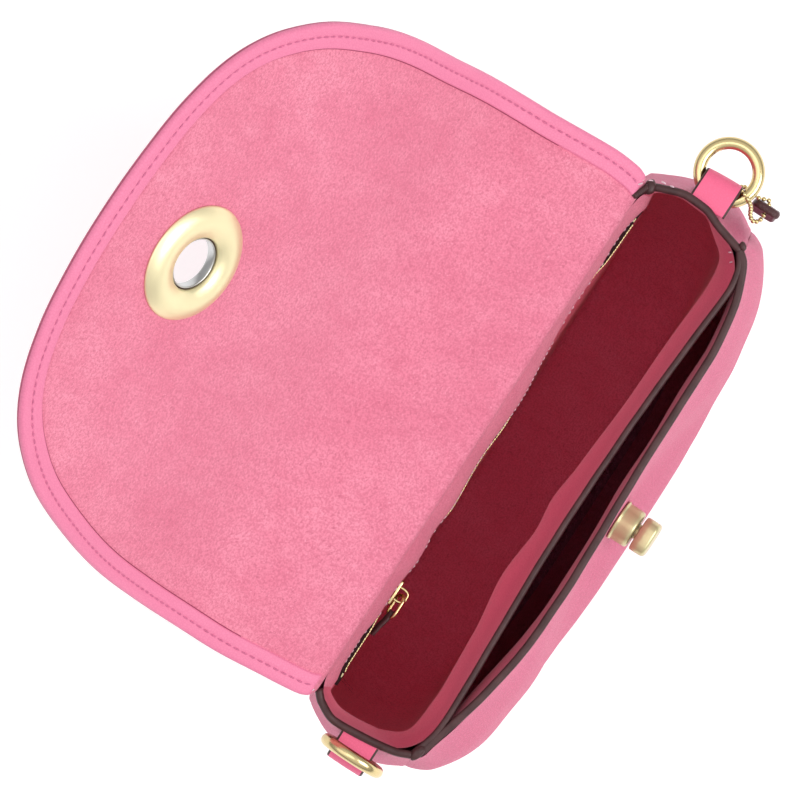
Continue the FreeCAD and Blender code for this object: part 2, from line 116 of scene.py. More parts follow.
# ------------------------------------------------------------------- materials
class Net:
    """Small helper to write a material's nodes."""

    def __init__(self, name):
        self.m = bpy.data.materials.new(name)
        self.m.use_nodes = True
        self.t = self.m.node_tree
        self.b = self.t.nodes["Principled BSDF"]

    def add(self, kind, **props):
        n = self.t.nodes.new(kind)
        ins = props.pop("ins", {})
        for k, v in props.items():
            setattr(n, k, v)
        for k, v in ins.items():
            if isinstance(v, bpy.types.NodeSocket):
                self.t.links.new(v, n.inputs[k])
            else:
                n.inputs[k].default_value = v
        return n

    def set(self, **kw):
        for k, v in kw.items():
            k = k.replace("_", " ")
            if isinstance(v, bpy.types.NodeSocket):
                self.t.links.new(v, self.b.inputs[k])
            else:
                self.b.inputs[k].default_value = v

    def coords(self, attr=True):
        if attr:
            return self.add("ShaderNodeAttribute", attribute_name="co").outputs["Vector"]
        return self.add("ShaderNodeTexCoord").outputs["Object"]

    def noise(self, co, scale, detail=2.0, rough=0.5):
        return self.add("ShaderNodeTexNoise", ins={"Vector": co, "Scale": scale, "Detail": detail, "Roughness": rough}).outputs["Fac"]

    def ramp(self, fac, stops):
        r = self.add("ShaderNodeValToRGB", ins={"Fac": fac})
        e = r.color_ramp.elements
        while len(e) > 1:
            e.remove(e[-1])
        e[0].position, e[0].color = stops[0][0], (*stops[0][1], 1)
        for p, c in stops[1:]:
            x = e.new(p)
            x.color = (*c, 1)
        return r.outputs["Color"]

    def mix(self, fac, a, b, mode="MIX"):
        n = self.add("ShaderNodeMix", data_type="RGBA", blend_type=mode)
        for sock, v in ((n.inputs[0], fac), (n.inputs[6], a), (n.inputs[7], b)):
            if isinstance(v, bpy.types.NodeSocket):
                self.t.links.new(v, sock)
            else:
                sock.default_value = v if not isinstance(v, tuple) or len(v) == 4 else (*v, 1)
        return n.outputs[2]

    def math(self, op, a, b=0.0):
        n = self.add("ShaderNodeMath", operation=op)
        for sock, v in ((n.inputs[0], a), (n.inputs[1], b)):
            if isinstance(v, bpy.types.NodeSocket):
                self.t.links.new(v, sock)
            else:
                sock.default_value = v
        return n.outputs[0]

    def bump(self, height, dist, strength=1.0, normal=None):
        ins = {"Height": height, "Distance": dist, "Strength": strength}
        n = self.add("ShaderNodeBump", ins=ins)
        if normal is not None:
            self.t.links.new(normal, n.inputs["Normal"])
        return n.outputs["Normal"]


def stretch(net, co, sx, sy, sz):
    return net.add("ShaderNodeMapping", ins={"Vector": co, "Scale": (sx, sy, sz)}).outputs["Vector"]


def leather_material(name, base, dark, grain=900.0, depth=0.00012, rough=0.46, squeeze=(1, 1, 1)):
    n = Net(name)
    co = n.coords()
    warp = n.add("ShaderNodeTexNoise", ins={"Vector": co, "Scale": 420.0, "Detail": 2.0}).outputs["Color"]
    wco = n.mix(0.0008, co, warp, "ADD")
    wco = stretch(n, wco, *squeeze)
    v = n.add("ShaderNodeTexVoronoi", feature="DISTANCE_TO_EDGE", ins={"Vector": wco, "Scale": grain}).outputs["Distance"]
    pebble = n.ramp(v, [(0.0, (0, 0, 0)), (0.16, (0.75, 0.75, 0.75)), (0.5, (1, 1, 1))])
    fine = n.noise(co, grain * 2.6, 3.0, 0.6)
    broad = n.noise(co, 26.0, 4.0, 0.55)
    col = n.ramp(broad, [(0.3, tuple(c * 0.965 for c in base)), (0.7, base)])
    col = n.mix(n.math("MULTIPLY", n.math("SUBTRACT", 1.0, pebble), 0.35), col, dark)
    height = n.math("ADD", n.math("MULTIPLY", pebble, 0.75), n.math("MULTIPLY", fine, 0.35))
    n.set(Base_Color=col, Roughness=n.math("ADD", rough - 0.06, n.math("MULTIPLY", fine, 0.14)),
          Specular_IOR_Level=0.30, Normal=n.bump(height, depth))
    return n.m


def suede_material(name, base, dark, light, top=None):
    n = Net(name)
    co = n.coords()
    mott = n.noise(co, 17.0, 5.0, 0.62)
    nap = n.noise(stretch(n, co, 1, 0.55, 1), 75.0, 4.0, 0.6)
    grain = n.noise(co, 1500.0, 2.0, 0.7)
    speck = n.noise(co, 820.0, 3.0, 0.75)
    col = n.ramp(mott, [(0.20, dark), (0.52, base), (0.84, light)])
    col = n.mix(n.math("MULTIPLY", n.ramp(nap, [(0.42, (0, 0, 0)), (0.66, (1, 1, 1))]), 0.30), col, light)
    spots = n.ramp(speck, [(0.575, (0, 0, 0)), (0.68, (1, 1, 1))])
    col = n.mix(n.math("MULTIPLY", spots, 0.62), col, tuple(c * 0.66 for c in dark))
    streak = n.ramp(n.noise(stretch(n, co, 1, 0.4, 1), 210.0, 5.0, 0.7), [(0.40, (0, 0, 0)), (0.62, (1, 1, 1))])
    col = n.mix(n.math("MULTIPLY", streak, 0.30), col, dark)
    fine = n.ramp(grain, [(0.42, (0, 0, 0)), (0.60, (1, 1, 1))])
    col = n.mix(n.math("MULTIPLY", fine, 0.55), col, tuple(c * 0.80 for c in dark))
    pale = n.ramp(n.noise(co, 1150.0, 2.0, 0.7), [(0.62, (0, 0, 0)), (0.72, (1, 1, 1))])
    col = n.mix(n.math("MULTIPLY", pale, 0.34), col, tuple(min(1, c * 1.25 + 0.03) for c in light))
    if top is not None:      # painted shade: near the rim, where the lining leans out into the light, the colour is mixed towards the dark top colour; deeper down the brighter base stays
        z = n.add("ShaderNodeSeparateXYZ", ins={"Vector": co}).outputs["Z"]
        k = n.add("ShaderNodeMapRange", ins={"Value": n.math("ADD", z, n.math("MULTIPLY", mott, 0.012)), "From Min": 0.142, "From Max": 0.166}).outputs["Result"]
        col = n.mix(n.math("MULTIPLY", k, 0.85), col, top)
    height = n.math("ADD", n.math("MULTIPLY", grain, 0.7), n.math("MULTIPLY", speck, 0.6))
    n.set(Base_Color=col, Roughness=0.95, Specular_IOR_Level=0.12, Sheen_Weight=0.22, Sheen_Roughness=0.55,
          Sheen_Tint=(1.0, 0.72, 0.80, 1), Normal=n.bump(height, 0.00022, 0.8))
    return n.m


def metal_material(name, base, rough, wear=0.06, attr=True, grain=(1, 1, 1), bump=0.00002, metal=1.0):
    n = Net(name)
    co = n.coords(attr)
    a = n.noise(stretch(n, co, *grain), 900.0, 3.0, 0.6)
    b = n.noise(co, 60.0, 3.0, 0.6)
    col = n.ramp(b, [(0.3, tuple(c * 0.93 for c in base)), (0.7, base)])
    n.set(Base_Color=col, Metallic=metal, Roughness=n.math("ADD", rough, n.math("MULTIPLY", n.math("SUBTRACT", a, 0.5), wear * 4)),
          Normal=n.bump(a, bump))
    return n.m


def paint_material(name, base, light):
    n = Net(name)
    co = n.coords()
    a = n.noise(co, 180.0, 4.0, 0.6)
    b = n.noise(co, 1100.0, 2.0, 0.6)
    col = n.ramp(a, [(0.35, base), (0.70, light)])
    n.set(Base_Color=col, Roughness=n.math("ADD", 0.36, n.math("MULTIPLY", b, 0.22)), Specular_IOR_Level=0.32,
          Normal=n.bump(n.math("ADD", n.math("MULTIPLY", a, 1.0), n.math("MULTIPLY", b, 0.3)), 0.00025))
    return n.m


def cloth_material(name, base, scale=1500.0, rough=0.9):
    n = Net(name)
    co = n.coords()
    w = n.add("ShaderNodeTexWave", ins={"Vector": co, "Scale": scale * 0.5, "Distortion": 1.5}).outputs["Fac"]
    a = n.noise(co, scale, 2.0, 0.6)
    col = n.ramp(a, [(0.3, tuple(c * 0.7 for c in base)), (0.7, base)])
    n.set(Base_Color=col, Roughness=rough, Specular_IOR_Level=0.2, Normal=n.bump(n.math("ADD", w, a), 0.0001))
    return n.m


PINK = (0.90, 0.235, 0.415)
# partly painted shade and sheen: the base is a darker, mauve pink than the bag's own pink, standing in for the shade
# and grain sheen on the front panel
M_LEATHER = leather_material("leather_pebbled", (0.66, 0.138, 0.250), (0.34, 0.050, 0.105), 900.0, 0.00022, 0.55, (1, 1, 0.72))
M_TAB = leather_material("leather_tab", (0.83, 0.140, 0.265), (0.66, 0.09, 0.19), 1300.0, 0.00004, 0.46)
M_BORDER = leather_material("leather_smooth", (0.77, 0.215, 0.355), (0.60, 0.13, 0.24), 1150.0, 0.00007, 0.48)
M_SUEDE = suede_material("suede", (0.735, 0.222, 0.318), (0.63, 0.145, 0.232), (0.84, 0.315, 0.415))
# painted light and shade: a copy of the pink suede for the inside, with a brighter, more saturated base for the shaded
# depths and a dark top colour for the rim band
M_LINING_PAINTED_SHADE = suede_material("lining_suede_painted_shade", (0.97, 0.150, 0.265), (0.90, 0.115, 0.21), (0.99, 0.20, 0.32), (0.43, 0.052, 0.100))
M_PAINT = paint_material("edge_paint", (0.044, 0.016, 0.017), (0.072, 0.029, 0.030))
M_THREAD = cloth_material("thread_pink", (0.78, 0.20, 0.36), 2500.0, 0.7)
# painted shadow: dark pink for the thin tube along the border's inner edge
M_SHADOW_LINE_PAINT = cloth_material("crease", (0.42, 0.070, 0.150), 2500.0, 0.9)
M_THREAD_PALE = cloth_material("thread_pale", (0.95, 0.66, 0.74), 2500.0, 0.7)
# painted shade: dark colour for the shallow discs at the needle holes
M_HOLE_SHADE_PAINT = cloth_material("needle_hole_painted_shade", (0.30, 0.045, 0.10), 2500.0, 0.9)
M_GOLD = metal_material("brass_gold", (0.70, 0.56, 0.29), 0.22, 0.03)
M_GOLD_KNOB = metal_material("brass_knob", (0.60, 0.54, 0.30), 0.32, 0.03, metal=0.70)
M_GOLD_SATIN = metal_material("brass_satin", (0.90, 0.80, 0.50), 0.42, 0.04, metal=0.80)
M_STEEL = metal_material("nickel", (0.60, 0.60, 0.60), 0.30, 0.03)
M_STEEL_CAD = metal_material("steel_hidden", (0.55, 0.55, 0.55), 0.35, 0.03, attr=False)
M_DARK = leather_material("leather_dark", (0.075, 0.026, 0.028), (0.03, 0.012, 0.012), 900.0, 0.0001, 0.38)
M_TAPE = cloth_material("zip_tape", (0.035, 0.014, 0.016), 1800.0, 0.85)
M_BOARD = cloth_material("board", (0.10, 0.08, 0.08), 600.0, 0.9)


# --------------------------------------------------------------------- meshes
def make(name, verts, faces, mats, co=None, smooth_=True, index=None):
    """A mesh from mm vertices.  co is what textures use; index picks a material per face."""
    v = np.asarray(verts, float)
    me = bpy.data.meshes.new(name)
    me.from_pydata([tuple(p) for p in v * MM], [], [tuple(int(i) for i in f) for f in faces])
    mats = mats if isinstance(mats, (list, tuple)) else [mats]
    for m in mats:
        me.materials.append(m)
    if index is not None:
        me.polygons.foreach_set("material_index", np.asarray(index, np.int32))
    a = me.attributes.new("co", "FLOAT_VECTOR", "POINT")
    a.data.foreach_set("vector", ((v if co is None else np.asarray(co, float)) * MM).astype(np.float32).ravel())
    if smooth_:
        me.polygons.foreach_set("use_smooth", np.ones(len(me.polygons), bool))
    me.update()
    o = bpy.data.objects.new(name, me)
    bpy.context.scene.collection.objects.link(o)
    return o


def grid_faces(nu, nv, base=0, wrap_u=False, wrap_v=False, flip=False):
    out = []
    for i in range(nu if wrap_u else nu - 1):
        for j in range(nv if wrap_v else nv - 1):
            a = base + i * nv + j
            b = base + ((i + 1) % nu) * nv + j
            c = base + ((i + 1) % nu) * nv + (j + 1) % nv
            d = base + i * nv + (j + 1) % nv
            out.append((a, d, c, b) if flip else (a, b, c, d))
    return out


class Bag:
    """Collects several pieces into one mesh."""

    def __init__(self):
        self.v, self.f, self.c, self.m = [], [], [], []
        self.n = 0

    def add(self, verts, faces, co=None, mat=0):
        verts = np.asarray(verts, float).reshape(-1, 3)
        self.v.append(verts)
        self.c.append(verts if co is None else np.asarray(co, float).reshape(-1, 3))
        self.f += [tuple(i + self.n for i in f) for f in faces]
        self.m += [mat] * len(faces)
        self.n += len(verts)

    def make(self, name, mats, smooth_=True):
        return make(name, np.concatenate(self.v), self.f, mats, np.concatenate(self.c), smooth_, self.m)


def frames(path, closed=False, up=None):
    """Tangents and two normals along a path, without twist."""
    p = np.asarray(path, float)
    t = (np.roll(p, -1, 0) - np.roll(p, 1, 0)) if closed else np.gradient(p, axis=0)
    t /= np.linalg.norm(t, axis=1)[:, None]
    if up is not None:
        u = np.broadcast_to(np.asarray(up, float), p.shape)
        a = np.cross(t, u)
        a /= np.linalg.norm(a, axis=1)[:, None]
        return t, a, np.cross(a, t)
    a = np.zeros_like(p)
    w = np.array([0, 0, 1.0]) if abs(t[0, 2]) < 0.9 else np.array([1.0, 0, 0])
    a[0] = np.cross(t[0], w)
    a[0] /= np.linalg.norm(a[0])
    for i in range(1, len(p)):
        x = a[i - 1] - t[i] * (a[i - 1] @ t[i])
        a[i] = x / np.linalg.norm(x)
    return t, a, np.cross(t, a)


def sweep(path, section, closed=False, up=None, caps=True):
    """A closed section (a, b offsets) swept along a path: verts, faces."""
    p = np.asarray(path, float)
    t, a, b = frames(p, closed, up)
    sec = np.asarray(section, float)
    if sec.ndim == 2:
        sec = np.broadcast_to(sec, (len(p),) + sec.shape)
    v = p[:, None] + a[:, None] * sec[:, :, :1] + b[:, None] * sec[:, :, 1:2]
    k = sec.shape[1]
    f = grid_faces(len(p), k, wrap_u=closed, wrap_v=True, flip=True)
    v = v.reshape(-1, 3)
    if caps and not closed:
        n = len(v)
        v = np.concatenate([v, [p[0]], [p[-1]]])
        for j in range(k):
            f.append((n, (j + 1) % k, j))
            m = (len(p) - 1) * k
            f.append((n + 1, m + j, m + (j + 1) % k))
    return v, f


def circle(r, n=16, squash_=1.0):
    a = np.arange(n) * 2 * np.pi / n
    return np.stack([r * np.cos(a), r * squash_ * np.sin(a)], 1)


def sphere(c, r, nu=12, nv=8):
    v, f = [], []
    for i in range(1, nv):
        t = math.pi * i / nv
        for j in range(nu):
            p = 2 * math.pi * j / nu
            v.append((c[0] + r * math.sin(t) * math.cos(p), c[1] + r * math.sin(t) * math.sin(p), c[2] + r * math.cos(t)))
    f = grid_faces(nv - 1, nu, wrap_v=True)
    n = len(v)
    v += [(c[0], c[1], c[2] + r), (c[0], c[1], c[2] - r)]
    for j in range(nu):
        f.append((n, j, (j + 1) % nu))
        m = (nv - 2) * nu
        f.append((n + 1, m + (j + 1) % nu, m + j))
    return np.array(v), f


def lathe(profile, origin, axis, n=96, closed=True, xdir=None):
    """(r, h) profile turned about an axis."""
    ax = np.asarray(axis, float) / np.linalg.norm(axis)
    if xdir is None:
        xdir = np.cross(ax, (0, 1.0, 0) if abs(ax[0]) > 0.9 else (1.0, 0, 0))
    x = np.asarray(xdir, float)
    x = x / np.linalg.norm(x)
    y = np.cross(ax, x)
    pr = np.asarray(profile, float)
    a = np.arange(n) * 2 * np.pi / n
    v = (np.asarray(origin, float) + pr[None, :, 1:2] * ax
         + pr[None, :, 0:1] * (np.cos(a)[:, None, None] * x + np.sin(a)[:, None, None] * y))
    return v.reshape(-1, 3), grid_faces(n, len(pr), wrap_u=True, wrap_v=closed)


def stitches(bag, pts, normals, length, radius, mat=0, flat=0.7, lift=0.0, bury=0.35):
    """Short raised threads, each from pts[i] along its direction.  pts is (n, 2, 3)."""
    k = 7
    u = np.linspace(-1, 1, k)
    for (p, q), nrm in zip(pts, normals):
        p, q, nrm = np.asarray(p), np.asarray(q), np.asarray(nrm)
        d = q - p
        l = np.linalg.norm(d)
        if l < 1e-6:
            continue
        d = d / l
        side = np.cross(nrm, d)
        side /= np.linalg.norm(side)
        c = (p + q) / 2
        ring = circle(1.0, 8)
        v = []
        for w in u:
            r = radius * max(0.12, (1 - abs(w) ** 3.2)) ** 0.5
            h = lift + radius * bury * (1 - w * w) * 2 - radius * 0.5
            base = c + d * (w * length / 2) + nrm * h
            for a, b in ring:
                v.append(base + side * (a * r) + nrm * (b * r * flat))
        f = grid_faces(k, 8, wrap_v=True, flip=False)
        n = len(v)
        v += [c - d * (length / 2) + nrm * (lift - radius * 0.5), c + d * (length / 2) + nrm * (lift - radius * 0.5)]
        for j in range(8):
            f.append((n, (j + 1) % 8, j))
            f.append((n + 1, (k - 1) * 8 + j, (k - 1) * 8 + (j + 1) % 8))
        bag.add(v, f, mat=mat)


# ------------------------------------------------------------------------ flap
A1, A2 = math.radians(20.0), math.radians(56.0)
HINGE = (19.0, 170.5)
FLAP_TOP, FLAP_LEN, HOLE_S = 54.0, 186.0, 139.3
FLAP_W = [(0, 99.0), (4, 100.4), (14, 101.0), (28, 101.0), (42, 100.7), (54, 100.1), (65, 99.3), (75, 98.3),
          (85, 97.2), (95, 96.0), (104, 94.6), (114, 92.5), (123, 90.1), (132, 87.2), (141, 83.7),
          (149, 79.6), (155, 75.8), (161, 71.3), (166.5, 66.2), (171, 61.0), (175, 55.0), (178, 49.0),
          (180.6, 42.0), (182.8, 34.0), (184.3, 25.0), (185.5, 14.0), (186.0, 0.0)]
BY = 18.3                     # reference line in the back wall
BEND_R, FOLD_R = 3.0, 60.0
SEAM = 27.0                   # where the two flap skins meet
S_LOW = -7.0                  # where the hinge skin starts on the back wall


def profile(s):
    """Reference line of the back wall and flap: (y, z), tangent angle, for distance s from the crease."""
    s = np.asarray(s, float)
    turn = math.pi / 2 - A1
    tl = BEND_R * math.tan(turn / 2)
    sc = (BY - HINGE[0]) / math.cos(A1)
    zc = HINGE[1] + sc * math.sin(A1)
    s1 = sc + tl
    s0 = s1 - BEND_R * turn
    z0 = zc - tl
    fl = FOLD_R * math.tan((A2 - A1) / 2)
    f0, f1 = FLAP_TOP - fl, FLAP_TOP + fl
    y = np.full(s.shape, BY)
    z = z0 + (s - s0)
    ang = np.full(s.shape, math.pi / 2)
    k = (s > s0) & (s <= s1)
    a = (s - s0) / BEND_R
    y = np.where(k, BY + BEND_R * (1 - np.cos(a)), y)
    z = np.where(k, z0 + BEND_R * np.sin(a), z)
    ang = np.where(k, math.pi / 2 - a, ang)
    k = (s > s1) & (s <= f0)
    y = np.where(k, HINGE[0] + s * math.cos(A1), y)
    z = np.where(k, HINGE[1] + s * math.sin(A1), z)
    ang = np.where(k, A1, ang)
    k = (s > f0) & (s <= f1)
    b = np.clip((s - f0) / (f1 - f0), 0, 1) * (A2 - A1)
    yc = HINGE[0] + f0 * math.cos(A1) - FOLD_R * math.sin(A1)
    zc2 = HINGE[1] + f0 * math.sin(A1) + FOLD_R * math.cos(A1)
    y = np.where(k, yc + FOLD_R * np.sin(A1 + b), y)
    z = np.where(k, zc2 - FOLD_R * np.cos(A1 + b), z)
    ang = np.where(k, A1 + b, ang)
    k = s > f1
    fy, fz = HINGE[0] + FLAP_TOP * math.cos(A1), HINGE[1] + FLAP_TOP * math.sin(A1)
    y = np.where(k, fy + (s - FLAP_TOP) * math.cos(A2), y)
    z = np.where(k, fz + (s - FLAP_TOP) * math.sin(A2), z)
    ang = np.where(k, A2, ang)
    return y, z, ang


def flap_wave(x, s):
    """Slow unevenness of the soft flap, mm along its normal, none near the eyelet and the crease."""
    w = 0.9 * np.sin(x / 31.0 + 0.6) * np.sin(s / 37.0 - 0.4) + 0.55 * np.sin(x / 17.0 - s / 26.0 + 1.1) + 0.35 * np.sin(x / 47.0 + s / 14.0)
    away = smooth(np.hypot(x, s - HOLE_S), 18, 46) * smooth(s, 4, 34)
    return 0.55 * w * away - 1.35 * np.exp(-((np.asarray(s, float) - 48.0) / 15.0) ** 2)


def flap_point(x, s, n):
    """World mm of a point in the flap's own frame."""
    x, s, n = np.broadcast_arrays(np.asarray(x, float), np.asarray(s, float), np.asarray(n, float))
    y, z, a = profile(s - 1.2 * smooth(s, 160, 186))
    m = n + flap_wave(x, s)
    drift = -1.5 * smooth(s, 8, 40) * (1 - smooth(s, 80, 125)) + 0.5 * smooth(x, 20, 70) * smooth(s, 125, 150)
    return np.stack([x + drift, y - np.sin(a) * m, z + np.cos(a) * m], -1)


def flap_normal(s):
    a = profile(s)[2]
    return np.stack([np.zeros_like(a), -np.sin(a), np.cos(a)], -1)


EDGE_MID = -0.10
TOP_N, BOT_N = 1.5, -1.62
D_TOP = [0.0, 0.07, 0.25, 0.6, 1.1, 1.9, 2.8, 3.35, 3.75, 4.05, 4.35, 4.8, 5.8, 6.8, 7.45, 7.85, 8.05, 8.2, 8.4, 8.9, 9.8, 11.2]


def top_n(d, s):
    """Height of the lining side at inward distance d from the edge."""
    d = np.asarray(d, float)
    border = smooth(s, -0.6, 1.0)
    h = TOP_N + 0.16 * np.sin(np.clip(d / 8.1, 0, 1) * np.pi) - 0.30 * np.exp(-((d - 4.05) / 0.42) ** 2)
    roll = np.sqrt(np.clip(1 - (1 - np.clip(d / 1.15, 0, 1)) ** 2, 0, 1))
    h = EDGE_MID + (h - EDGE_MID) * roll
    inner = 0.98 - 0.26 * np.exp(-((d - 8.25) / 0.35) ** 2)
    k = smooth(d, 7.9, 8.2)
    full = h * (1 - k) + inner * k
    plain = EDGE_MID + (0.98 - EDGE_MID) * roll
    return plain * (1 - border) + full * border


def bot_n(d, s):
    d = np.asarray(d, float)
    roll = np.sqrt(np.clip(1 - (1 - np.clip(d / 0.95, 0, 1)) ** 2, 0, 1))
    h = BOT_N + 0.22 * np.exp(-((d - 4.05) / 0.42) ** 2) * smooth(s, -0.6, 1.0)
    return EDGE_MID + (h - EDGE_MID) * roll


def flap_side(step=1.5):
    """Right-hand outline from the seam to the tip as (x, s)."""
    c = spline([(w, s) for s, w in FLAP_W if s >= 14] + [(-w, s) for s, w in FLAP_W[::-1] if 170 < s < 186], 0.4)
    c = c[c[:, 0] >= -0.01]
    return c


def flap_loop():
    """Outline of the front skin from the right end of the seam, round the tip, to the left end."""
    r = flap_side()
    keep = r[:, 1] >= SEAM
    r = r[keep]
    x0 = float(pchip(FLAP_W, SEAM))
    r = np.concatenate([[(x0, SEAM)], r])
    full = np.concatenate([r, (r * [-1, 1])[::-1][1:]])
    full = resample(full, 1.45)
    n = len(full)
    full = (full + (full * [-1, 1])[::-1]) / 2
    return full


def inward(c):
    t = np.gradient(c, axis=0)
    t /= np.linalg.norm(t, axis=1)[:, None]
    n = np.stack([-t[:, 1], t[:, 0]], 1)
    n[0] = (-1, 0)
    n[-1] = (1, 0)
    return n


def cdt(points, edges):
    v, e, f, ov, oe, of_ = geometry.delaunay_2d_cdt([Vector(p) for p in points], edges, [], 0, 1e-5)
    back = {}
    for i, o in enumerate(ov):
        for k in o:
            back[k] = i
    return np.array([tuple(p) for p in v]), [tuple(t) for t in f], back


def front_skin():
    """Skin of the flap from the seam to the tip, hole included."""
    loop = flap_loop()
    nrm = inward(loop)
    ds = D_TOP
    L = [loop + nrm * d for d in ds]
    for l in L:
        l[0, 1] = l[-1, 1] = SEAM
    inner = L[-1]
    # interior points, a hexagonal lattice
    pts = [tuple(p) for p in inner]
    n0 = len(pts)
    edges = [(i, i + 1) for i in range(n0 - 1)]
    xr = inner[0, 0]
    cut = [(x, SEAM) for x in np.linspace(-xr, xr, 96)[1:-1]]
    c0 = len(pts)
    pts += cut
    edges += [(n0 - 1, c0)] + [(c0 + i, c0 + i + 1) for i in range(len(cut) - 1)] + [(c0 + len(cut) - 1, 0)]
    hr = 8.75
    h0 = len(pts)
    H = 64
    for rr in (hr,):
        pts += [(rr * math.cos(2 * math.pi * i / H), HOLE_S + rr * math.sin(2 * math.pi * i / H)) for i in range(H)]
    edges += [(h0 + i, h0 + (i + 1) % H) for i in range(H)]
    step = 2.1
    poly = np.array([tuple(p) for p in inner])
    row = 0
    s = SEAM + step * 0.9
    rng = np.random.default_rng(7)
    while s < FLAP_LEN - 11:
        # half width of the interior at this s
        m = np.interp(s, poly[: n0 // 2 + 1, 1], poly[: n0 // 2 + 1, 0])
        x = -m + 0.9 + (step / 2 if row % 2 else 0)
        while x < m - 0.9:
            if math.hypot(x, s - HOLE_S) > hr + 1.2:
                pts.append((x, s))
            x += step
        s += step * 0.87
        row += 1
    v, tris, back = cdt(pts, edges)
    # keep triangles inside the outline and outside the hole
    cen = np.array([np.mean([v[i] for i in t], axis=0) for t in tris])
    mm = np.interp(cen[:, 1], poly[: n0 // 2 + 1, 1], poly[: n0 // 2 + 1, 0])
    ok = (np.abs(cen[:, 0]) < mm + 0.02) & (np.hypot(cen[:, 0], cen[:, 1] - HOLE_S) > hr * 0.997) & (cen[:, 1] > SEAM)
    tris = [t for t, k in zip(tris, ok) if k]
    N = len(loop)
    K = len(ds)
    # vertex list: loops 0..K-2 as rings, then the cdt vertices (loop K-1 inside them)
    P2 = np.concatenate([np.concatenate(L[:-1]), v])
    D = np.concatenate([np.repeat(ds[:-1], N), np.full(len(v), 0.0)])
    # distance for interior: far from the edge, the innermost loop has its own d
    Dv = np.full(len(v), 30.0)
    for i in range(N):
        Dv[back[i]] = ds[-1]
    D[(K - 1) * N:] = Dv
    off = (K - 1) * N

    def vid(k, i):
        return k * N + i if k < K - 1 else off + back[i]
    top = []
    for k in range(K - 1):
        for i in range(N - 1):
            top.append((vid(k, i), vid(k, i + 1), vid(k + 1, i + 1), vid(k + 1, i)))
    kind = [0 if ds[k + 1] <= 8.21 else 1 for k in range(K - 1) for _ in range(N - 1)]
    for t in tris:
        a, b, c = (v[i] for i in t)
        area = (b[0] - a[0]) * (c[1] - a[1]) - (b[1] - a[1]) * (c[0] - a[0])
        top.append(tuple(off + i for i in (t if area > 0 else t[::-1])))
        kind.append(1)
    x, s = P2[:, 0], P2[:, 1]
    up = flap_point(x, s, top_n(D, s))
    dn = flap_point(x, s, bot_n(D, s))
    n = len(P2)
    # the loop at d=0 is shared
    remap = np.arange(n) + n
    remap[:N] = np.arange(N)
    faces = list(top) + [tuple(int(remap[i]) for i in f[::-1]) for f in top]
    mats = kind + [2] * len(top)
    # wall of the hole
    for i in range(H):
        a, b = off + back[h0 + i], off + back[h0 + (i + 1) % H]
        faces.append((a, b, int(remap[b]), int(remap[a])))
        mats.append(2)
    verts = np.concatenate([up, dn])
    co = np.concatenate([np.stack([x, s, np.full(n, 1.0)], 1), np.stack([x, s, np.full(n, -8.0)], 1)])
    return verts, faces, mats, co


def hinge_skin():
    """Skin from the back wall over the crease to the seam."""
    ss = np.unique(np.round(np.concatenate([np.linspace(S_LOW, -3, 5), np.linspace(-3, 3, 19), np.linspace(3, SEAM, 17)]), 4))
    ds = np.array(D_TOP)
    wtab = [(S_LOW - 1, 96.2), (-4.5, 96.4), (-2.0, 97.2), (-0.6, 98.4), (0.4, 99.3), (4, 100.4), (14, 101.0), (28, 101.0)]
    cols = 96
    X, D, S = [], [], []
    for s in ss:
        w = float(pchip(wtab, s)) if s < 4 else float(pchip(FLAP_W, s))
        right = w - ds
        mid = np.linspace(w - ds[-1], -(w - ds[-1]), cols)[1:-1]
        x = np.concatenate([right, mid, -right[::-1]])
        d = np.concatenate([ds, np.full(len(mid), 30.0), ds[::-1]])
        X.append(x), D.append(d), S.append(np.full(len(x), s))
    X, D, S = map(np.array, (X, D, S))
    up = flap_point(X, S, top_n(D, S))
    dn = flap_point(X, S, bot_n(D, S))
    m, k = X.shape
    f = grid_faces(m, k)
    # orientation: columns run from +x to -x, rows along +s
    top = [q[::-1] for q in f]
    kind = []
    for i in range(m - 1):
        for j in range(k - 1):
            dmax = max(D[i, j], D[i, j + 1])
            kind.append(0 if dmax <= 8.21 and ss[i] >= 0.3 else 1)
    n = m * k
    remap = np.arange(n) + n
    for i in range(m):
        remap[i * k] = i * k
        remap[i * k + k - 1] = i * k + k - 1
    bottom = [tuple(int(remap[a]) for a in q[::-1]) for q in top]
    verts = np.concatenate([up.reshape(-1, 3), dn.reshape(-1, 3)])
    co = np.concatenate([np.stack([X.ravel(), S.ravel(), np.full(n, 1.0)], 1), np.stack([X.ravel(), S.ravel(), np.full(n, -8.0)], 1)])
    return verts, top + bottom, kind + [2] * len(bottom), co


def fix_normals(o):
    bm = bmesh.new()
    bm.from_mesh(o.data)
    loose = [v for v in bm.verts if not v.link_faces]
    bmesh.ops.delete(bm, geom=loose, context="VERTS")
    bmesh.ops.recalc_face_normals(bm, faces=bm.faces)
    bm.to_mesh(o.data)
    bm.free()
    o.data.update()


def blend_hinge(o):
    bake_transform(o)


def blend_fold(o):
    f0 = flap_point(0, 38.0, 0.0) * MM
    f1 = flap_point(0, 71.0, 0.0) * MM
    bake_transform(o)


v, f, m, co = hinge_skin()
hinge_part = make("flap_hinge_skin", v, f, [M_BORDER, M_SUEDE, M_LEATHER], co, True, m)
fix_normals(hinge_part)
blend_hinge(hinge_part)
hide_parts("flap_top_leather", "flap_top_lining", "flap_top_binding")
v, f, m, co = front_skin()
front_part = make("flap_front_skin", v, f, [M_BORDER, M_SUEDE, M_LEATHER], co, True, m)
fix_normals(front_part)
blend_fold(front_part)
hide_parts("flap_front_leather", "flap_front_lining", "flap_front_binding")

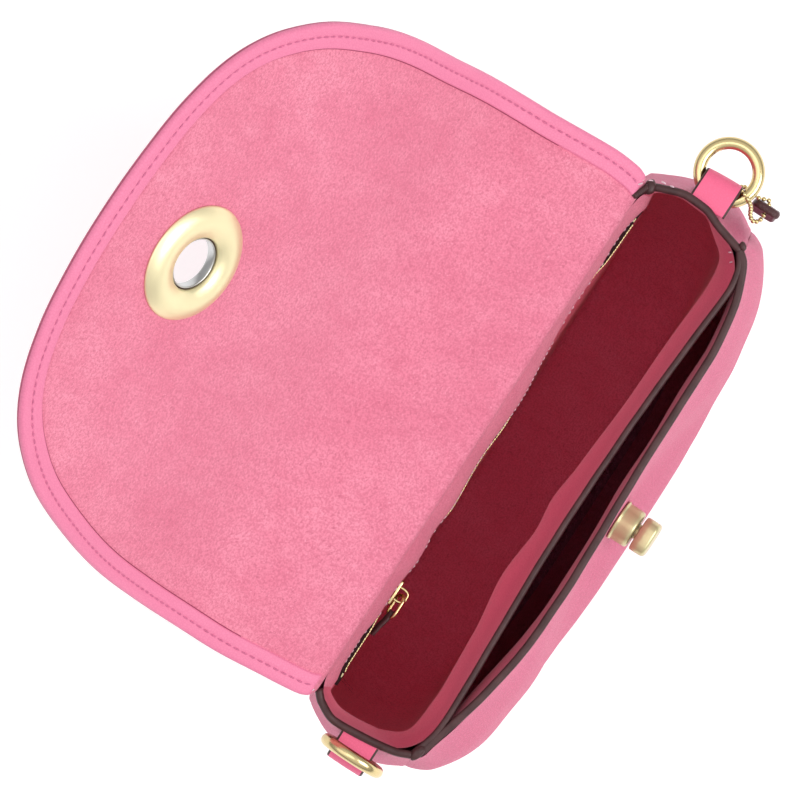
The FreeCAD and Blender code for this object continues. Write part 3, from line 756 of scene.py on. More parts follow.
# border stitching, on the lining side and on the leather side
def border_stitches():
    loop = flap_loop()
    nrm = inward(loop)
    line = loop + nrm * 4.05
    x0 = line[0, 0]
    low = np.stack([np.interp(np.linspace(1.2, SEAM, 60), [s for s, _ in FLAP_W[:6]], [w for _, w in FLAP_W[:6]]) - 4.05,
                    np.linspace(1.2, SEAM, 60)], 1)
    path = np.concatenate([low[:-1], line, (low * [-1, 1])[::-1][1:]])
    length = np.linalg.norm(np.diff(path, axis=0), axis=1).sum()
    k = int(length / 2.95)
    fine = resample(path, count=k * 10 + 1)
    out = []
    for i in range(k):
        a, b = fine[i * 10 + 1], fine[i * 10 + 9]
        out.append((a, b, fine[i * 10]))
    return out


hs, hf = Bag(), Bag()
# painted shadow: a thin dark tube laid in the groove at the border's inner edge stands in for its shadow line
shadow_line_loop = flap_loop()
shadow_line_xy = (shadow_line_loop + inward(shadow_line_loop) * 8.12)[2:-2]
shadow_line_path = flap_point(shadow_line_xy[:, 0], shadow_line_xy[:, 1], 0.84)
v, f = sweep(shadow_line_path, circle(0.24, 8))
hf.add(v, f, mat=2)
for a, b, h in border_stitches():
    bag = hs if (a[1] + b[1]) / 2 < SEAM else hf
    for side in (1, -1):
        n0 = 1.5 - 0.30 + 0.14 if side > 0 else -(1.62 - 0.22 + 0.14)
        pa, pb = flap_point(a[0], a[1], n0), flap_point(b[0], b[1], n0)
        nn = flap_normal(np.array((a[1] + b[1]) / 2)) * side
        stitches(bag, [(pa, pb)], [nn], np.linalg.norm(pb - pa), 0.33, mat=0, flat=0.75, lift=0.10)
        # painted shade: a shallow dark disc at each needle hole stands in for the shadow inside the hole
        ph = flap_point(h[0], h[1], n0 - side * 0.06)
        t = (pb - pa) / np.linalg.norm(pb - pa)
        sd = np.cross(nn, t)
        ring = [ph + sd * (0.40 * math.cos(q)) + t * (0.32 * math.sin(q)) + nn * 0.015 for q in np.arange(8) * math.pi / 4]
        bag.add(np.array(ring + [ph - nn * 0.12]), [(j, (j + 1) % 8, 8) for j in range(8)], mat=1)
o = hs.make("flap_stitches_hinge", [M_THREAD, M_HOLE_SHADE_PAINT])
blend_hinge(o)
o = hf.make("flap_stitches_front", [M_THREAD, M_HOLE_SHADE_PAINT, M_SHADOW_LINE_PAINT])
blend_fold(o)

# ---------------------------------------------------------------------- eyelet
EYE = flap_point(0, HOLE_S, 0.0)
EN = flap_normal(np.array(HOLE_S))
prof = [(8.75, 1.3), (8.72, 1.9), (8.95, 2.45), (9.4, 2.85), (10.2, 3.25), (11.3, 3.62), (12.6, 3.86), (13.9, 3.92),
        (15.2, 3.74), (16.5, 3.32), (17.6, 2.72), (18.4, 2.1), (18.85, 1.55), (18.95, 1.25), (18.8, 1.02), (8.75, 1.02)]
fine = resample(spline(prof[:-2], 0.3), 0.35)
v, f = lathe(list(map(tuple, fine)) + prof[-2:], EYE, EN, 160)
o = make("eyelet_disc_inner", v, f, M_GOLD_SATIN)
fix_normals(o)
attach(o, "flap_front"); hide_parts("eyelet_inner_disc")
prof = [(8.75, -1.62), (8.78, -2.2), (9.1, -2.6), (10.0, -2.95), (11.5, -3.2), (13.8, -3.3), (16.0, -3.1), (17.7, -2.65), (18.7, -2.15), (18.95, -1.8), (18.8, -1.64)]
fine = spline(prof, 0.4)
v, f = lathe(list(map(tuple, fine)), EYE, EN, 128)
o = make("eyelet_disc_outer", v, f, M_GOLD_SATIN)
fix_normals(o)
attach(o, "flap_front"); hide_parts("eyelet_outer_disc")
prof = [(7.86, -1.5), (7.8, -1.3), (7.8, 1.1), (7.86, 1.45), (8.02, 1.62), (8.2, 1.6), (8.3, 1.4), (8.3, -1.4), (8.15, -1.62), (7.98, -1.64)]
v, f = lathe(prof, EYE, EN, 128)
o = make("eyelet_tube", v, f, M_STEEL)
# painted shadow: a thin ring in the dark edge paint fills the gap between tube and disc, where there is only shade
v2, f2 = lathe([(8.28, 0.9), (8.28, 1.18), (8.78, 1.18), (8.78, 0.9)], EYE, EN, 96)
og = make("eyelet_gap_shadow_ring", v2, f2, M_PAINT)
fix_normals(og)
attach(og, "flap_front")
fix_normals(o)
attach(o, "flap_front"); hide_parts("eyelet_sleeve")

# ------------------------------------------------------------------ body shape
H = 168.0
SIDE = [(95.6, 182.0), (97.0, H), (100.0, 150.0), (103.0, 130.0), (105.6, 110.0), (107.0, 92.0),
        (106.8, 74.0), (104.2, 54.0), (98.2, 36.0), (88.6, 20.5), (76.5, 9.0), (64.0, 2.2), (52.0, 0.0)]
HALF_W = sorted((z, x) for x, z in SIDE)
BULGE = [(-1, 0.0), (3, 0.6), (12, 2.2), (30, 4.0), (60, 4.9), (100, 5.0), (150, 5.2), (168, 5.5), (182, 5.6)]
DOME_MID = [(-5, 0.0), (0, 0.6), (3, 4.2), (7, 8.8), (13, 14.2), (20, 18.4), (28, 20.9), (36, 21.7), (46, 21.0),
            (58, 18.6), (72, 14.9), (85, 12.4), (100, 11.4), (120, 10.8), (145, 10.2), (168, 9.6), (184, 9.2)]
DOME_END = [(-5, 0.0), (0, 0.6), (4, 4.6), (10, 9.0), (20, 13.2), (35, 16.9), (60, 19.4), (83, 19.7),
            (105, 18.2), (130, 14.8), (150, 11.8), (168, 9.6), (184, 8.4)]
F_EDGE = -23.1
RIM_R = [(-18.9, -0.2), (-10.4, 2.2), (-2.7, 4.9), (3.9, 5.2), (12.1, 2.9), (15.8, 1.2), (17.9, -1.9)]
RIM_L = [(-19.3, 1.6), (-14.6, 3.5), (-5.1, 5.0), (7.0, 5.9), (14.7, 2.9), (18.2, -0.6)]
FRONT_RIM = [(-99.2, -19.6), (-95.2, -22.5), (-89.2, -24.2), (-82.3, -26.3), (-69.7, -29.2), (-58.8, -31.3), (-46.3, -32.8), (-30.7, -33.3),
             (-4.6, -32.8), (17.7, -31.9), (40.0, -31.6), (60.8, -31.4), (71.6, -30.4), (79.7, -28.9), (86.9, -26.5), (93.6, -23.3), (97.2, -19.2)]
DIV_RIM = [(-97.0, -19.4), (-92.0, -21.0), (-87.0, -22.2), (-80.0, -22.6), (-66.0, -22.1), (-45.0, -21.3), (-22.0, -20.4), (0.0, -20.2), (22.0, -20.6),
           (45.0, -21.4), (67.0, -22.6), (83.0, -23.6), (90.0, -22.4), (96.0, -18.8)]


def half_w(z):
    return pchip(HALF_W, z)


side = spline(SIDE, 0.5)
side = side[side[:, 1] <= H + 0.001]
side = np.concatenate([[(97.0, H)], side])
base = np.stack([np.linspace(52, -52, 130)[1:-1], np.zeros(128)], 1)
OUT = np.concatenate([side, base, (side * [-1, 1])[::-1]])
OUT = resample(OUT, count=421)
OUT = (OUT + (OUT * [-1, 1])[::-1]) / 2
_t = np.gradient(OUT, axis=0)
_t /= np.linalg.norm(_t, axis=1)[:, None]
OUT_N = np.stack([-_t[:, 1], _t[:, 0]], 1)         # outward normal of the outline (right side: +x)
if OUT_N[3, 0] < 0:
    OUT_N = -OUT_N


def to_outline(x, z):
    """Distance from (x, z) inward to the D outline, the open top not counted."""
    x, z = np.broadcast_arrays(np.asarray(x, float), np.asarray(z, float))
    ext = np.concatenate([[(96.2, 176.0)], OUT, [(-96.2, 176.0)]])
    a, b = ext[:-1], ext[1:]
    p = np.stack([x.ravel(), z.ravel()], 1)
    best = np.full(len(p), 1e9)
    ab = b - a
    ll = (ab ** 2).sum(1)
    for i in range(len(a)):
        t = np.clip(((p - a[i]) @ ab[i]) / ll[i], 0, 1)
        d = np.linalg.norm(p - (a[i] + t[:, None] * ab[i]), axis=1)
        best = np.minimum(best, d)
    return best.reshape(x.shape)


def bulge_at(y, x, z):
    """Outward offset of the gusset strip at depth y and outline point (x, z)."""
    s = (y + 0.3) / 18.2
    gen = pchip(BULGE, z) * (1 - np.abs(s) ** 2.0)
    rim = np.where(x >= 0, pchip(RIM_R, y), pchip(RIM_L, y))
    k = smooth(z, 95, 166)
    return gen * (1 - k) + rim * k


def front_face(x, z):
    """Outer face of the front panel."""
    s = np.clip(np.abs(x) / half_w(z), 0, 1)
    mid = 1 - smooth(np.abs(x), 18, 70)
    d = pchip(DOME_MID, z) * mid + pchip(DOME_END, z) * (1 - mid)
    d = d + 3.0 * mid * (1 - mid) * smooth(z, 10, 40) * (1 - smooth(z, 60, 120)) + 0.2 * mid * smooth(z, 5, 25) * (1 - smooth(z, 60, 78))
    d = d - 1.3 * np.exp(-((np.abs(x) - np.where(np.asarray(x) > 0, 73, 75)) / 11.0) ** 2) * smooth(z, 10, 40) * (1 - smooth(z, 110, 150))
    gen = F_EDGE - d * (1 - s ** np.where(np.asarray(x) > 0, 5.5, 8.6))
    rim = pchip(FRONT_RIM, x)
    k = smooth(z, 118, 168)
    return gen * (1 - k) + rim * k


PUFF_L = [(-45, 0.2), (-38, 0.9), (-34, 1.5), (-28, 2.5), (-19, 2.9), (-13, 3.2), (-5, 3.0), (6.7, 2.7), (13.5, 1.9), (18.5, 1.2), (21, 1.0)]
PUFF_R = [(-45, 0.0), (-38, 0.2), (-34, 0.3), (-27, 0.3), (-20, 0.3), (-15, 0.8), (-10, 1.0), (0, 0.0), (8, -1.2), (16, -2.0), (21, -2.0)]


def puff(P):
    """The soft ends of the body stand out a little unevenly between base and rim."""
    x, y, z = P[..., 0], P[..., 1], P[..., 2]
    k = smooth(np.abs(x), 62, 98) * smooth(z, 22, 58)
    return np.where(x > 0, pchip(PUFF_R, y) * (1 - smooth(z, 132, 166)), -pchip(PUFF_L, y) * (1 - smooth(z, 106, 142))) * k


def divider_mid(x, z):
    """Middle of the divider leaf."""
    k = smooth(z, 112, 168)
    return -19.5 * (1 - k) + pchip(DIV_RIM, x) * k


# -------------------------------------------------------------- gusset, outside
ys = np.concatenate([[-20.9, -20.6, -20.2, -19.8, -19.3, -18.7], np.linspace(-17.8, 17.0, 29), [17.7, 18.2, 18.6, 18.9, 19.2]])


def gusset_offset(y, x, z):
    """Outer face, with the seam allowances rolled in at both edges."""
    o_ = bulge_at(np.clip(y, -18.5, 17.9), x, z)
    f_ = np.clip((-17.9 - y) / 2.4, 0, 1)
    b_ = np.clip((y - 17.2) / 1.9, 0, 1)
    return o_ - 1.5 * (1 - np.sqrt(1 - f_ ** 2 * 0.9999)) - 1.3 * (1 - np.sqrt(1 - b_ ** 2 * 0.9999))


def shell(offset_fn, yy, top, crinkle=0.0, seed=0.0):
    T = len(OUT)
    x0, z0 = OUT[:, None, 0], OUT[:, None, 1]
    Y = np.broadcast_to(yy[None, :], (T, len(yy)))
    off = offset_fn(Y, np.broadcast_to(x0, Y.shape), np.broadcast_to(z0, Y.shape))
    P = np.stack([x0 + OUT_N[:, None, 0] * off, Y, z0 + OUT_N[:, None, 1] * off], -1)
    P[0, :, 2] = P[-1, :, 2] = top
    P[..., 2] = np.maximum(P[..., 2], 0.0)
    return P


P = shell(gusset_offset, ys, H - 0.6)
wr = nz(P[..., 0], P[..., 1], P[..., 2], 16.0, 3.1) * 0.28 + nz(P[..., 0], P[..., 1], P[..., 2], 6.5, 1.4) * 0.10
low = smooth(P[..., 2], 2.0, 14.0)
P[..., 0] += OUT_N[:, None, 0] * wr * low
P[..., 2] += OUT_N[:, None, 1] * wr * low
P[..., 2] = np.maximum(P[..., 2], 0.0)
P[..., 0] += puff(P)
# pressed in a little behind the ring tabs
P[..., 0] -= np.sign(P[..., 0]) * smooth(np.abs(P[..., 0]), 80, 95) * 0.9 * np.exp(-((P[..., 1] + 3) / 12.0) ** 4) * np.exp(-((P[..., 2] - 146) / 12.0) ** 2)
gus = make("gusset_outer_skin", P.reshape(-1, 3), grid_faces(*P.shape[:2]), M_LEATHER)
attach(gus, "bag"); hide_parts("gusset")


# ---------------------------------------------------------- front, back, outside
def panel_grid(face, top_z, roll_r, roll_to, sign, rows=78, cols=121):
    """A panel over the D outline; its edge rolls back towards roll_to."""
    zz = np.concatenate([[0.0, 0.12, 0.4, 0.9, 1.6, 2.5, 3.6], np.linspace(5, top_z, rows)])
    u = np.linspace(-1, 1, cols)
    u = np.sign(u) * (1 - (1 - np.abs(u)) ** 1.6)
    inset = 1.15
    Z = np.broadcast_to(zz[:, None], (len(zz), cols)).copy()
    W = np.interp(zz, OUT[: len(OUT) // 2, 1][::-1], OUT[: len(OUT) // 2, 0][::-1])
    X = u[None, :] * (W - inset)[:, None]
    E = to_outline(X, Z)
    Y = face(X, Z)
    # its edge follows the gusset's where that leans out towards the rim
    end = np.sign(u)[None, :]
    X = X + end * np.abs(u)[None, :] ** 6 * bulge_at(sign * 18.2 - 0.3, end, Z)
    e = np.clip((E - inset) / roll_r, 0, 1)
    k = 1 - np.sqrt(np.clip(1 - (1 - e) ** 2, 0, 1))
    Y = Y * (1 - k) + roll_to * k
    Z[0] = 0.0
    return np.stack([X, Y, Z], -1)


Pf = panel_grid(front_face, H - 0.6, 3.2, -20.4, -1)
wr = nz(Pf[..., 0], Pf[..., 2], 0.0, 38.0, 5.0) * 0.25 + nz(Pf[..., 0], Pf[..., 2], 0.0, 13.0, 8.0) * 0.14
Pf[..., 1] += wr * smooth(to_outline(Pf[..., 0], Pf[..., 2]), 3, 18) * smooth(168 - Pf[..., 2], 2, 20) * smooth(np.hypot(Pf[..., 0], Pf[..., 2] - 85.3), 9, 18)
Pf[..., 0] += puff(Pf)
fr = make("front_outer_skin", Pf.reshape(-1, 3), grid_faces(*Pf.shape[:2]), M_LEATHER)
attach(fr, "bag"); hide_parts("front_panel")


def back_face(x, z):
    return 19.92 + 0.5 * np.sin(np.clip((150 - z) / 150, 0, 1) * np.pi) * (1 - (np.abs(x) / half_w(z)) ** 2)


Z_LOW = float(profile(np.array(S_LOW))[1])
Pb = panel_grid(back_face, Z_LOW, 2.4, 18.6, 1)
# the top row meets the hinge skin
Pb[-1, :, 0] = np.clip(Pb[-1, :, 0], -96.2, 96.2)
Pb[..., 1] += nz(Pb[..., 0], Pb[..., 2], 0.0, 30.0, 2.0) * 0.35 * smooth(to_outline(Pb[..., 0], Pb[..., 2]), 3, 18) * smooth(Z_LOW - Pb[..., 2], 2, 30)
Pb[..., 0] += puff(Pb)
bk = make("back_outer_skin", Pb.reshape(-1, 3), grid_faces(*Pb.shape[:2], flip=True), M_LEATHER)
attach(bk, "bag"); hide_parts("back_panel")


# ------------------------------------------------------------------- rim beads
def bead(path, width, name, mat=M_PAINT, rise=0.95, drop=2.0, slots="outer_leather"):
    p = np.asarray(path, float)
    w = np.broadcast_to(np.asarray(width, float), (len(p),)) / 2
    sec = []
    for i in range(len(p)):
        q = w[i]
        sec.append([(-q - 0.02, -drop), (-q - 0.14, -0.9), (-q - 0.12, -0.15), (-q * 0.88, rise * 0.55), (-q * 0.55, rise * 0.9), (0, rise),
                    (q * 0.55, rise * 0.9), (q * 0.88, rise * 0.55), (q + 0.12, -0.15), (q + 0.14, -0.9), (q + 0.02, -drop)])
    v, f = sweep(p, np.array(sec), up=(0, 0, 1))
    o = make(name, v, f, mat)
    fix_normals(o)
    return o


def rim_path(tab, sgn, y0, y1, n=70):
    y = np.linspace(y0, y1, n)
    x = sgn * (97.0 + pchip(tab, y))
    return np.stack([x, y, np.full(n, H - 0.35)], 1)


def inset_path(p, d):
    t = np.gradient(p[:, :2], axis=0)
    t /= np.linalg.norm(t, axis=1)[:, None]
    q = p.copy()
    q[:, 0] += -t[:, 1] * d
    q[:, 1] += t[:, 0] * d
    return q


RIM_T = 2.35


def wob(n, amp, scale, seed):
    return np.array([noise.noise(Vector((i * scale + seed, seed, 0))) for i in range(n)]) * amp


gr = inset_path(rim_path(RIM_R, 1, 17.7, -19.4), RIM_T / 2 * -1)
gl = inset_path(rim_path(RIM_L, -1, 17.9, -19.6), RIM_T / 2)
for g in (gr, gl):
    g[:, 2] += wob(len(g), 0.5, 0.11, 4.0)
right_rim = bead(gr, RIM_T, "rim_gusset_right")
left_rim = bead(gl, RIM_T, "rim_gusset_left")
xs = np.linspace(-98.6, 97.0, 240)
fp = np.stack([xs, pchip(FRONT_RIM, xs), np.full(len(xs), H - 0.35)], 1)
fp = resample(fp, 1.2)
fp[:, 2] += wob(len(fp), 0.5, 0.07, 1.0)
fp[:, 1] += wob(len(fp), 0.22, 0.10, 9.0)
front_rim = bead(inset_path(fp, RIM_T / 2), RIM_T, "rim_front", rise=0.62)
xs = np.linspace(-96.6, 95.6, 220)
dp = np.stack([xs, pchip(DIV_RIM, xs), np.full(len(xs), H - 0.5)], 1)
dp = resample(dp, 1.2)
dp[:, 2] += wob(len(dp), 0.5, 0.08, 6.0)
dp[:, 1] += wob(len(dp), 0.16, 0.09, 3.0)
div_rim = bead(dp, 1.9, "rim_divider", rise=0.75)
for o in (right_rim, left_rim, front_rim, div_rim):
    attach(o, "bag")


def blob(bag_, c, r, ax=0.0, nu=20, nv=12, lump=0.12, seed=1.0):
    """A lumpy drop of edge paint; ax turns it about the vertical."""
    v, f = sphere((0, 0, 0), 1.0, nu, nv)
    k = 1 + lump * np.array([noise.noise(Vector((p[0] * 1.7 + seed, p[1] * 1.7, p[2] * 1.7))) for p in v])
    v = v * k[:, None] * np.array(r)
    c_, s_ = math.cos(ax), math.sin(ax)
    v = np.stack([v[:, 0] * c_ - v[:, 1] * s_, v[:, 0] * s_ + v[:, 1] * c_, v[:, 2]], 1)
    bag_.add(v + np.array(c), f)


ends = Bag()
blob(ends, (96.9, 15.7, 168.9), (2.5, 1.9, 1.5), 0.3, seed=2.0)            # curled end of the gusset's painted edge
blob(ends, (-95.6, -20.7, 168.0), (3.0, 1.6, 1.3), -0.25, seed=5.0)
blob(ends, (97.1, -19.5, 168.3), (1.5, 1.1, 1.1), 0.9, seed=7.0)
for k_ in range(2):                                                        # two twisted strands at the corner of the crease
    t_ = np.linspace(0, 1, 60)
    w_ = t_ * 4.2 * 2 * math.pi + k_ * math.pi
    base_ = np.stack([96.4 - 4.9 * t_, 16.3 + 2.0 * t_, 170.4 + 0.9 * t_], 1)
    pth = base_ + np.stack([0.5 * np.cos(w_) * 0.35, 0.5 * np.cos(w_), 0.45 * np.sin(w_)], 1)
    v, f = sweep(pth, circle(0.52, 10))
    ends.add(v, f)
o = ends.make("rim_ends", [M_PAINT])
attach(o, "bag")
pale = Bag()
for a_, b_, n_ in (((95.3, 19.3, 171.9), (96.6, 18.3, 171.6), (0, -0.3, 1)), ((96.6, 19.6, 171.6), (97.6, 18.5, 171.2), (0, -0.3, 1)), ((98.3, 17.2, 169.6), (99.0, 15.7, 169.2), (0.3, 0, 1)),
                   ((100.2, 13.6, 168.4), (100.4, 11.9, 168.3), (0.5, 0, 1)), ((100.7, 10.6, 168.1), (100.8, 9.0, 168.0), (0.5, 0, 1)), ((-97.6, 19.2, 171.0), (-96.2, 18.2, 171.2), (0, -0.3, 1)),
                   ((93.2, -16.8, 163.6), (93.9, -18.1, 164.4), (-0.3, 0.8, 0.5)), ((90.6, -19.0, 163.0), (91.6, -19.8, 163.4), (-0.2, 0.9, 0.4))):
    a_, b_ = np.array(a_), np.array(b_)
    stitches(pale, [(a_, b_)], [np.array(n_, float) / np.linalg.norm(n_)], np.linalg.norm(b_ - a_), 0.30, flat=0.8, lift=0.25)
o = pale.make("corner_back_stitches", [M_THREAD_PALE])
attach(o, "bag")


# ----------------------------------------------------------- main compartment
LIP_UP = [(-97, 13.2), (-92, 14.0), (-86, 14.9), (-76, 14.9), (-68, 14.0), (-58, 14.1), (-44, 13.0), (-34, 13.8), (-25, 13.1), (-6, 14.1),
          (16, 13.3), (33, 14.6), (53, 15.7), (68, 15.3), (76, 15.6), (83, 15.2), (88, 14.2), (93, 12.9)]
TEETH_Y = [(-97, 13.3), (-92, 13.3), (-86, 14.1), (-74, 14.1), (-66, 14.6), (-58, 15.0), (-44, 14.0), (-34, 14.6), (-25, 13.45), (-6, 14.4),
           (8, 13.75), (16, 14.4), (33, 15.7), (53, 16.5), (64, 15.9), (70, 15.0), (76, 14.7), (85, 14.4), (93, 13.4)]


def lip_up(x):
    return pchip(LIP_UP, x)


def teeth_y(x):
    return pchip(TEETH_Y, x)


def back_lining(x, z):
    """Front face of the lining on the back wall: it leans forward to the zip's upper lip
    and starts again behind it below the zip."""
    x, z = np.broadcast_arrays(np.asarray(x, float), np.asarray(z, float))
    t = pchip([(144, 0), (146, 0), (150, 0.10), (154, 0.27), (158, 0.52), (161, 0.78), (Z_LOW, 1.0), (169, 1.0)], z)
    upper = lip_up(x) + (17.32 - lip_up(x)) * t
    k = smooth(z, 108, 140)
    low = 14.4 * (1 - k) + (teeth_y(x) + 0.1) * k
    return np.where(z > 143, upper, low)


def cavity():
    """Loop of the inside walls at many depths, rows from the rim down."""
    zrows = np.concatenate([[167.6, 166.6, 165.2, Z_LOW, 161.5, 159.0, 156.2, 153.5, 151.0, 148.5, 146.0, 140.0, 136.0, 131.0], np.linspace(125, 12, 20), [9.5, 7.6, 6.3, 5.6]])
    nb, ns, nf = 111, 30, 100
    rows = []
    for z in zrows:
        off = 2.4
        depth = float(smooth(-z, -168, -150))
        W = float(half_w(max(z, 3.0)))
        # right side from the back to the front
        yside = np.linspace(17.0, -18.0, ns)
        cuff_r = (2.4 + 4.6 * smooth(-yside, 4, 15)) * (smooth(-z, -167.4, -150) - 0.75 * smooth(-z, -148, -126))
        xr = W + bulge_at(yside, 1.0, z) - off - cuff_r + nz(yside, z, 0.0, 11.0, 2.0) * 0.5 * depth
        yside_l = np.linspace(-18.2, 17.0, ns)
        cuff_l = (4.6 + 2.4 * smooth(-yside_l, 6, 16)) * (smooth(-z, -167.4, -150) - 0.75 * smooth(-z, -148, -126))
        xl = -(W + bulge_at(yside_l, -1.0, z) - off - cuff_l + nz(yside_l, z, 4.0, 11.0, 6.0) * 0.5 * depth)
        xb = np.linspace(-(W - 2.0), W - 2.0, nb)
        # put columns exactly on the zip opening's ends
        for target in (-92.0, 88.0):
            k = np.argmin(np.abs(np.linspace(-101, 101, nb) - target))
            xb[k] = target if z > 30 else xb[k]
        xb = np.sort(xb)
        ybk = back_lining(xb, min(z, Z_LOW)) + nz(xb, z, 9.0, 34.0, 1.0) * 0.8 * smooth(-z, -136, -110)
        xf = np.linspace(W - 2.0, -(W - 2.0), nf)
        reach = pchip([(-100, 7.6), (-89, 7.2), (-75, 5.2), (-55, 5.2), (-35, 6.8), (-16, 5.0), (-4, 6.3), (10, 4.9), (30, 4.1), (52, 4.0), (75, 5.0), (88, 6.3), (100, 7.0)], xf)
        lean = 1.0 + reach * (smooth(-z, -167.5, -149) - 0.85 * smooth(-z, -147, -122))
        yf = divider_mid(xf, z) + lean * (1 - 0.75 * (np.abs(xf) / (W + 1)) ** 6) + nz(xf, z, 3.0, 30.0, 7.0) * 0.9 * depth
        loop = np.concatenate([np.stack([xb, ybk], 1), np.stack([xr, yside], 1), np.stack([xf, yf], 1), np.stack([xl, yside_l], 1)])
        rows.append(loop)
    return zrows, np.array(rows), (nb, ns, nf)


zrows, L, (nb, ns, nf) = cavity()
n = L.shape[1]
for _ in range(14):        # round the corners, keep the straight stretches
    A = (np.roll(L, 1, 1) + np.roll(L, -1, 1)) / 2
    w = np.zeros(n)
    for c in (nb - 0.5, nb + ns - 0.5, nb + ns + nf - 0.5, -0.5):
        d = np.minimum(np.abs(np.arange(n) - c), n - np.abs(np.arange(n) - c))
        w = np.maximum(w, np.clip(1 - d / 4.5, 0, 1) ** 0.5)
    L = L * (1 - 0.8 * w[None, :, None]) + A * (0.8 * w[None, :, None])
# below the rim the two front corners are rounder still
w = np.zeros(n)
for c in (nb + ns - 0.5, nb + ns + nf - 0.5):
    d = np.minimum(np.abs(np.arange(n) - c), n - np.abs(np.arange(n) - c))
    w = np.maximum(w, np.clip(1 - d / 10.0, 0, 1) ** 0.5)
w = w[None, :, None] * smooth(-zrows, -165.5, -157.0)[:, None, None]
for _ in range(36):
    L = L * (1 - 0.8 * w) + (np.roll(L, 1, 1) + np.roll(L, -1, 1)) / 2 * (0.8 * w)
Z = np.repeat(zrows[:, None], n, 1).astype(float)
# back columns start where the hinge skin ends
bi = np.arange(n) < nb
for r in range(3):
    Z[r, bi] = Z_LOW + 0.02 * (3 - r)
    L[r, bi] = L[3, bi]
Pc = np.concatenate([L, Z[..., None]], -1)
win_r = [i for i, z in enumerate(zrows) if abs(z - 146) < 1e-6][0]
# painted light and shade: each face picks a copy of the suede, 1 the plain suede on the back wall above the zip, 0 the
# lining copy with painted shade at the rim and painted light in the depths
faces, plain_or_shaded_lining = [], []
k0 = int(np.argmin(np.abs(L[win_r, :nb, 0] + 92)))
k1 = int(np.argmin(np.abs(L[win_r, :nb, 0] - 88)))
for i in range(len(zrows) - 1):
    for j in range(n):
        if i == win_r and k0 <= j < k1:
            continue
        if i < 3 and j < nb - 1:
            continue
        a, b = i * n + j, i * n + (j + 1) % n
        c, d = (i + 1) * n + (j + 1) % n, (i + 1) * n + j
        faces.append((a, b, c, d))
        plain_or_shaded_lining.append(1 if i < win_r and j < nb - 1 else 0)
last = (len(zrows) - 1) * n
V = list(map(tuple, Pc.reshape(-1, 3)))
ring = Pc[-1]
cen = ring[:, :2].mean(0)
prev = list(range(last, last + n))
for q in (0.75, 0.45, 0.15):
    new = [(cen[0] + (p[0] - cen[0]) * q, cen[1] + (p[1] - cen[1]) * q, 5.2 + 0.25 * q) for p in ring]
    b0 = len(V)
    V += new
    for j in range(n):
        faces.append((prev[j], prev[(j + 1) % n], b0 + (j + 1) % n, b0 + j))
        plain_or_shaded_lining.append(0)
    prev = list(range(b0, b0 + n))
V.append((cen[0], cen[1], 5.2))
for j in range(n):
    faces.append((prev[j], prev[(j + 1) % n], len(V) - 1))
    plain_or_shaded_lining.append(0)
cav = make("compartment_lining", V, faces, [M_LINING_PAINTED_SHADE, M_SUEDE], None, True, plain_or_shaded_lining)
bm = bmesh.new(); bm.from_mesh(cav.data); bmesh.ops.remove_doubles(bm, verts=bm.verts, dist=1e-6)
bm.to_mesh(cav.data); bm.free()
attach(cav, "bag"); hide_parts("gusset_lining", "back_lining", "divider_lining")

# turned-in lips of the zip opening
lip = Bag()
for r, sgn in ((win_r, 1), (win_r + 1, -1)):
    row = Pc[r, k0:k1 + 1]
    prof_ = [(0.0, 0.0), (0.25, -0.25), (0.65, -0.32), (1.1, -0.25), (1.35, 0.05)]
    G = np.stack([row + np.array([0, a, b * sgn]) for a, b in prof_], 1)
    lip.add(G.reshape(-1, 3), grid_faces(*G.shape[:2]))
o = lip.make("zip_lips", [M_LINING_PAINTED_SHADE])
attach(o, "bag")
lt = Bag()
for x_ in np.arange(-86.0, 86.0, 1.9):
    g_ = (noise.noise(Vector((x_ * 0.31, 4.0, 1.0))) + 0.15) * 1.0
    if -32 < x_ < 36:
        g_ += 0.35
    if g_ < 0.12:
        continue
    y0_, y1_ = float(lip_up(x_)), float(lip_up(x_ + 1.2))
    p_, q_ = np.array((x_, y0_ - 0.02, 146.35)), np.array((x_ + 1.2, y1_ - 0.02, 146.35))
    stitches(lt, [(p_, q_)], [np.array((0, -1.0, 0.15)) / 1.011], 1.25, 0.20, flat=0.8, lift=0.06)
o = lt.make("lip_stitches", [M_THREAD_PALE])
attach(o, "bag")

# ------------------------------------------------------------------ slip pocket
xs = np.linspace(-1, 1, 120)
zs = np.concatenate([[167.6, 166.5, 165, 163, 160.5, 157.5, 154, 150, 145], np.linspace(136, 5, 16)])
G1, G2 = [], []
for z in zs:
    W = float(half_w(z)) - 2.2
    x = xs * W
    e = 1 - np.abs(xs) ** 10
    yd = divider_mid(x, z) - 0.95 - 0.5 * smooth(-z, -168, -150) * e
    yfp = front_face(x, z) + 2.35 + e * (smooth(-z, -167.5, -158) - smooth(-z, -150, -130)) * (1.3 + 1.2 * nz(x, 0.0, 0.0, 26.0, 12.0) + 1.2 * smooth(-x, 30, 70))
    yd, yfp = np.maximum(yd, (yd + yfp) / 2), np.minimum(yfp, (yd + yfp) / 2)
    G1.append(np.stack([x, yd, np.full(len(x), z)], 1))
    G2.append(np.stack([x, yfp, np.full(len(x), z)], 1))
G1, G2 = np.array(G1), np.array(G2)
pk = Bag()
pk.add(G1.reshape(-1, 3), grid_faces(*G1.shape[:2], flip=True))
pk.add(G2.reshape(-1, 3), grid_faces(*G2.shape[:2]))
o = pk.make("slip_pocket_lining", [M_LINING_PAINTED_SHADE])
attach(o, "bag"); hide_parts("front_lining", "divider_panel")

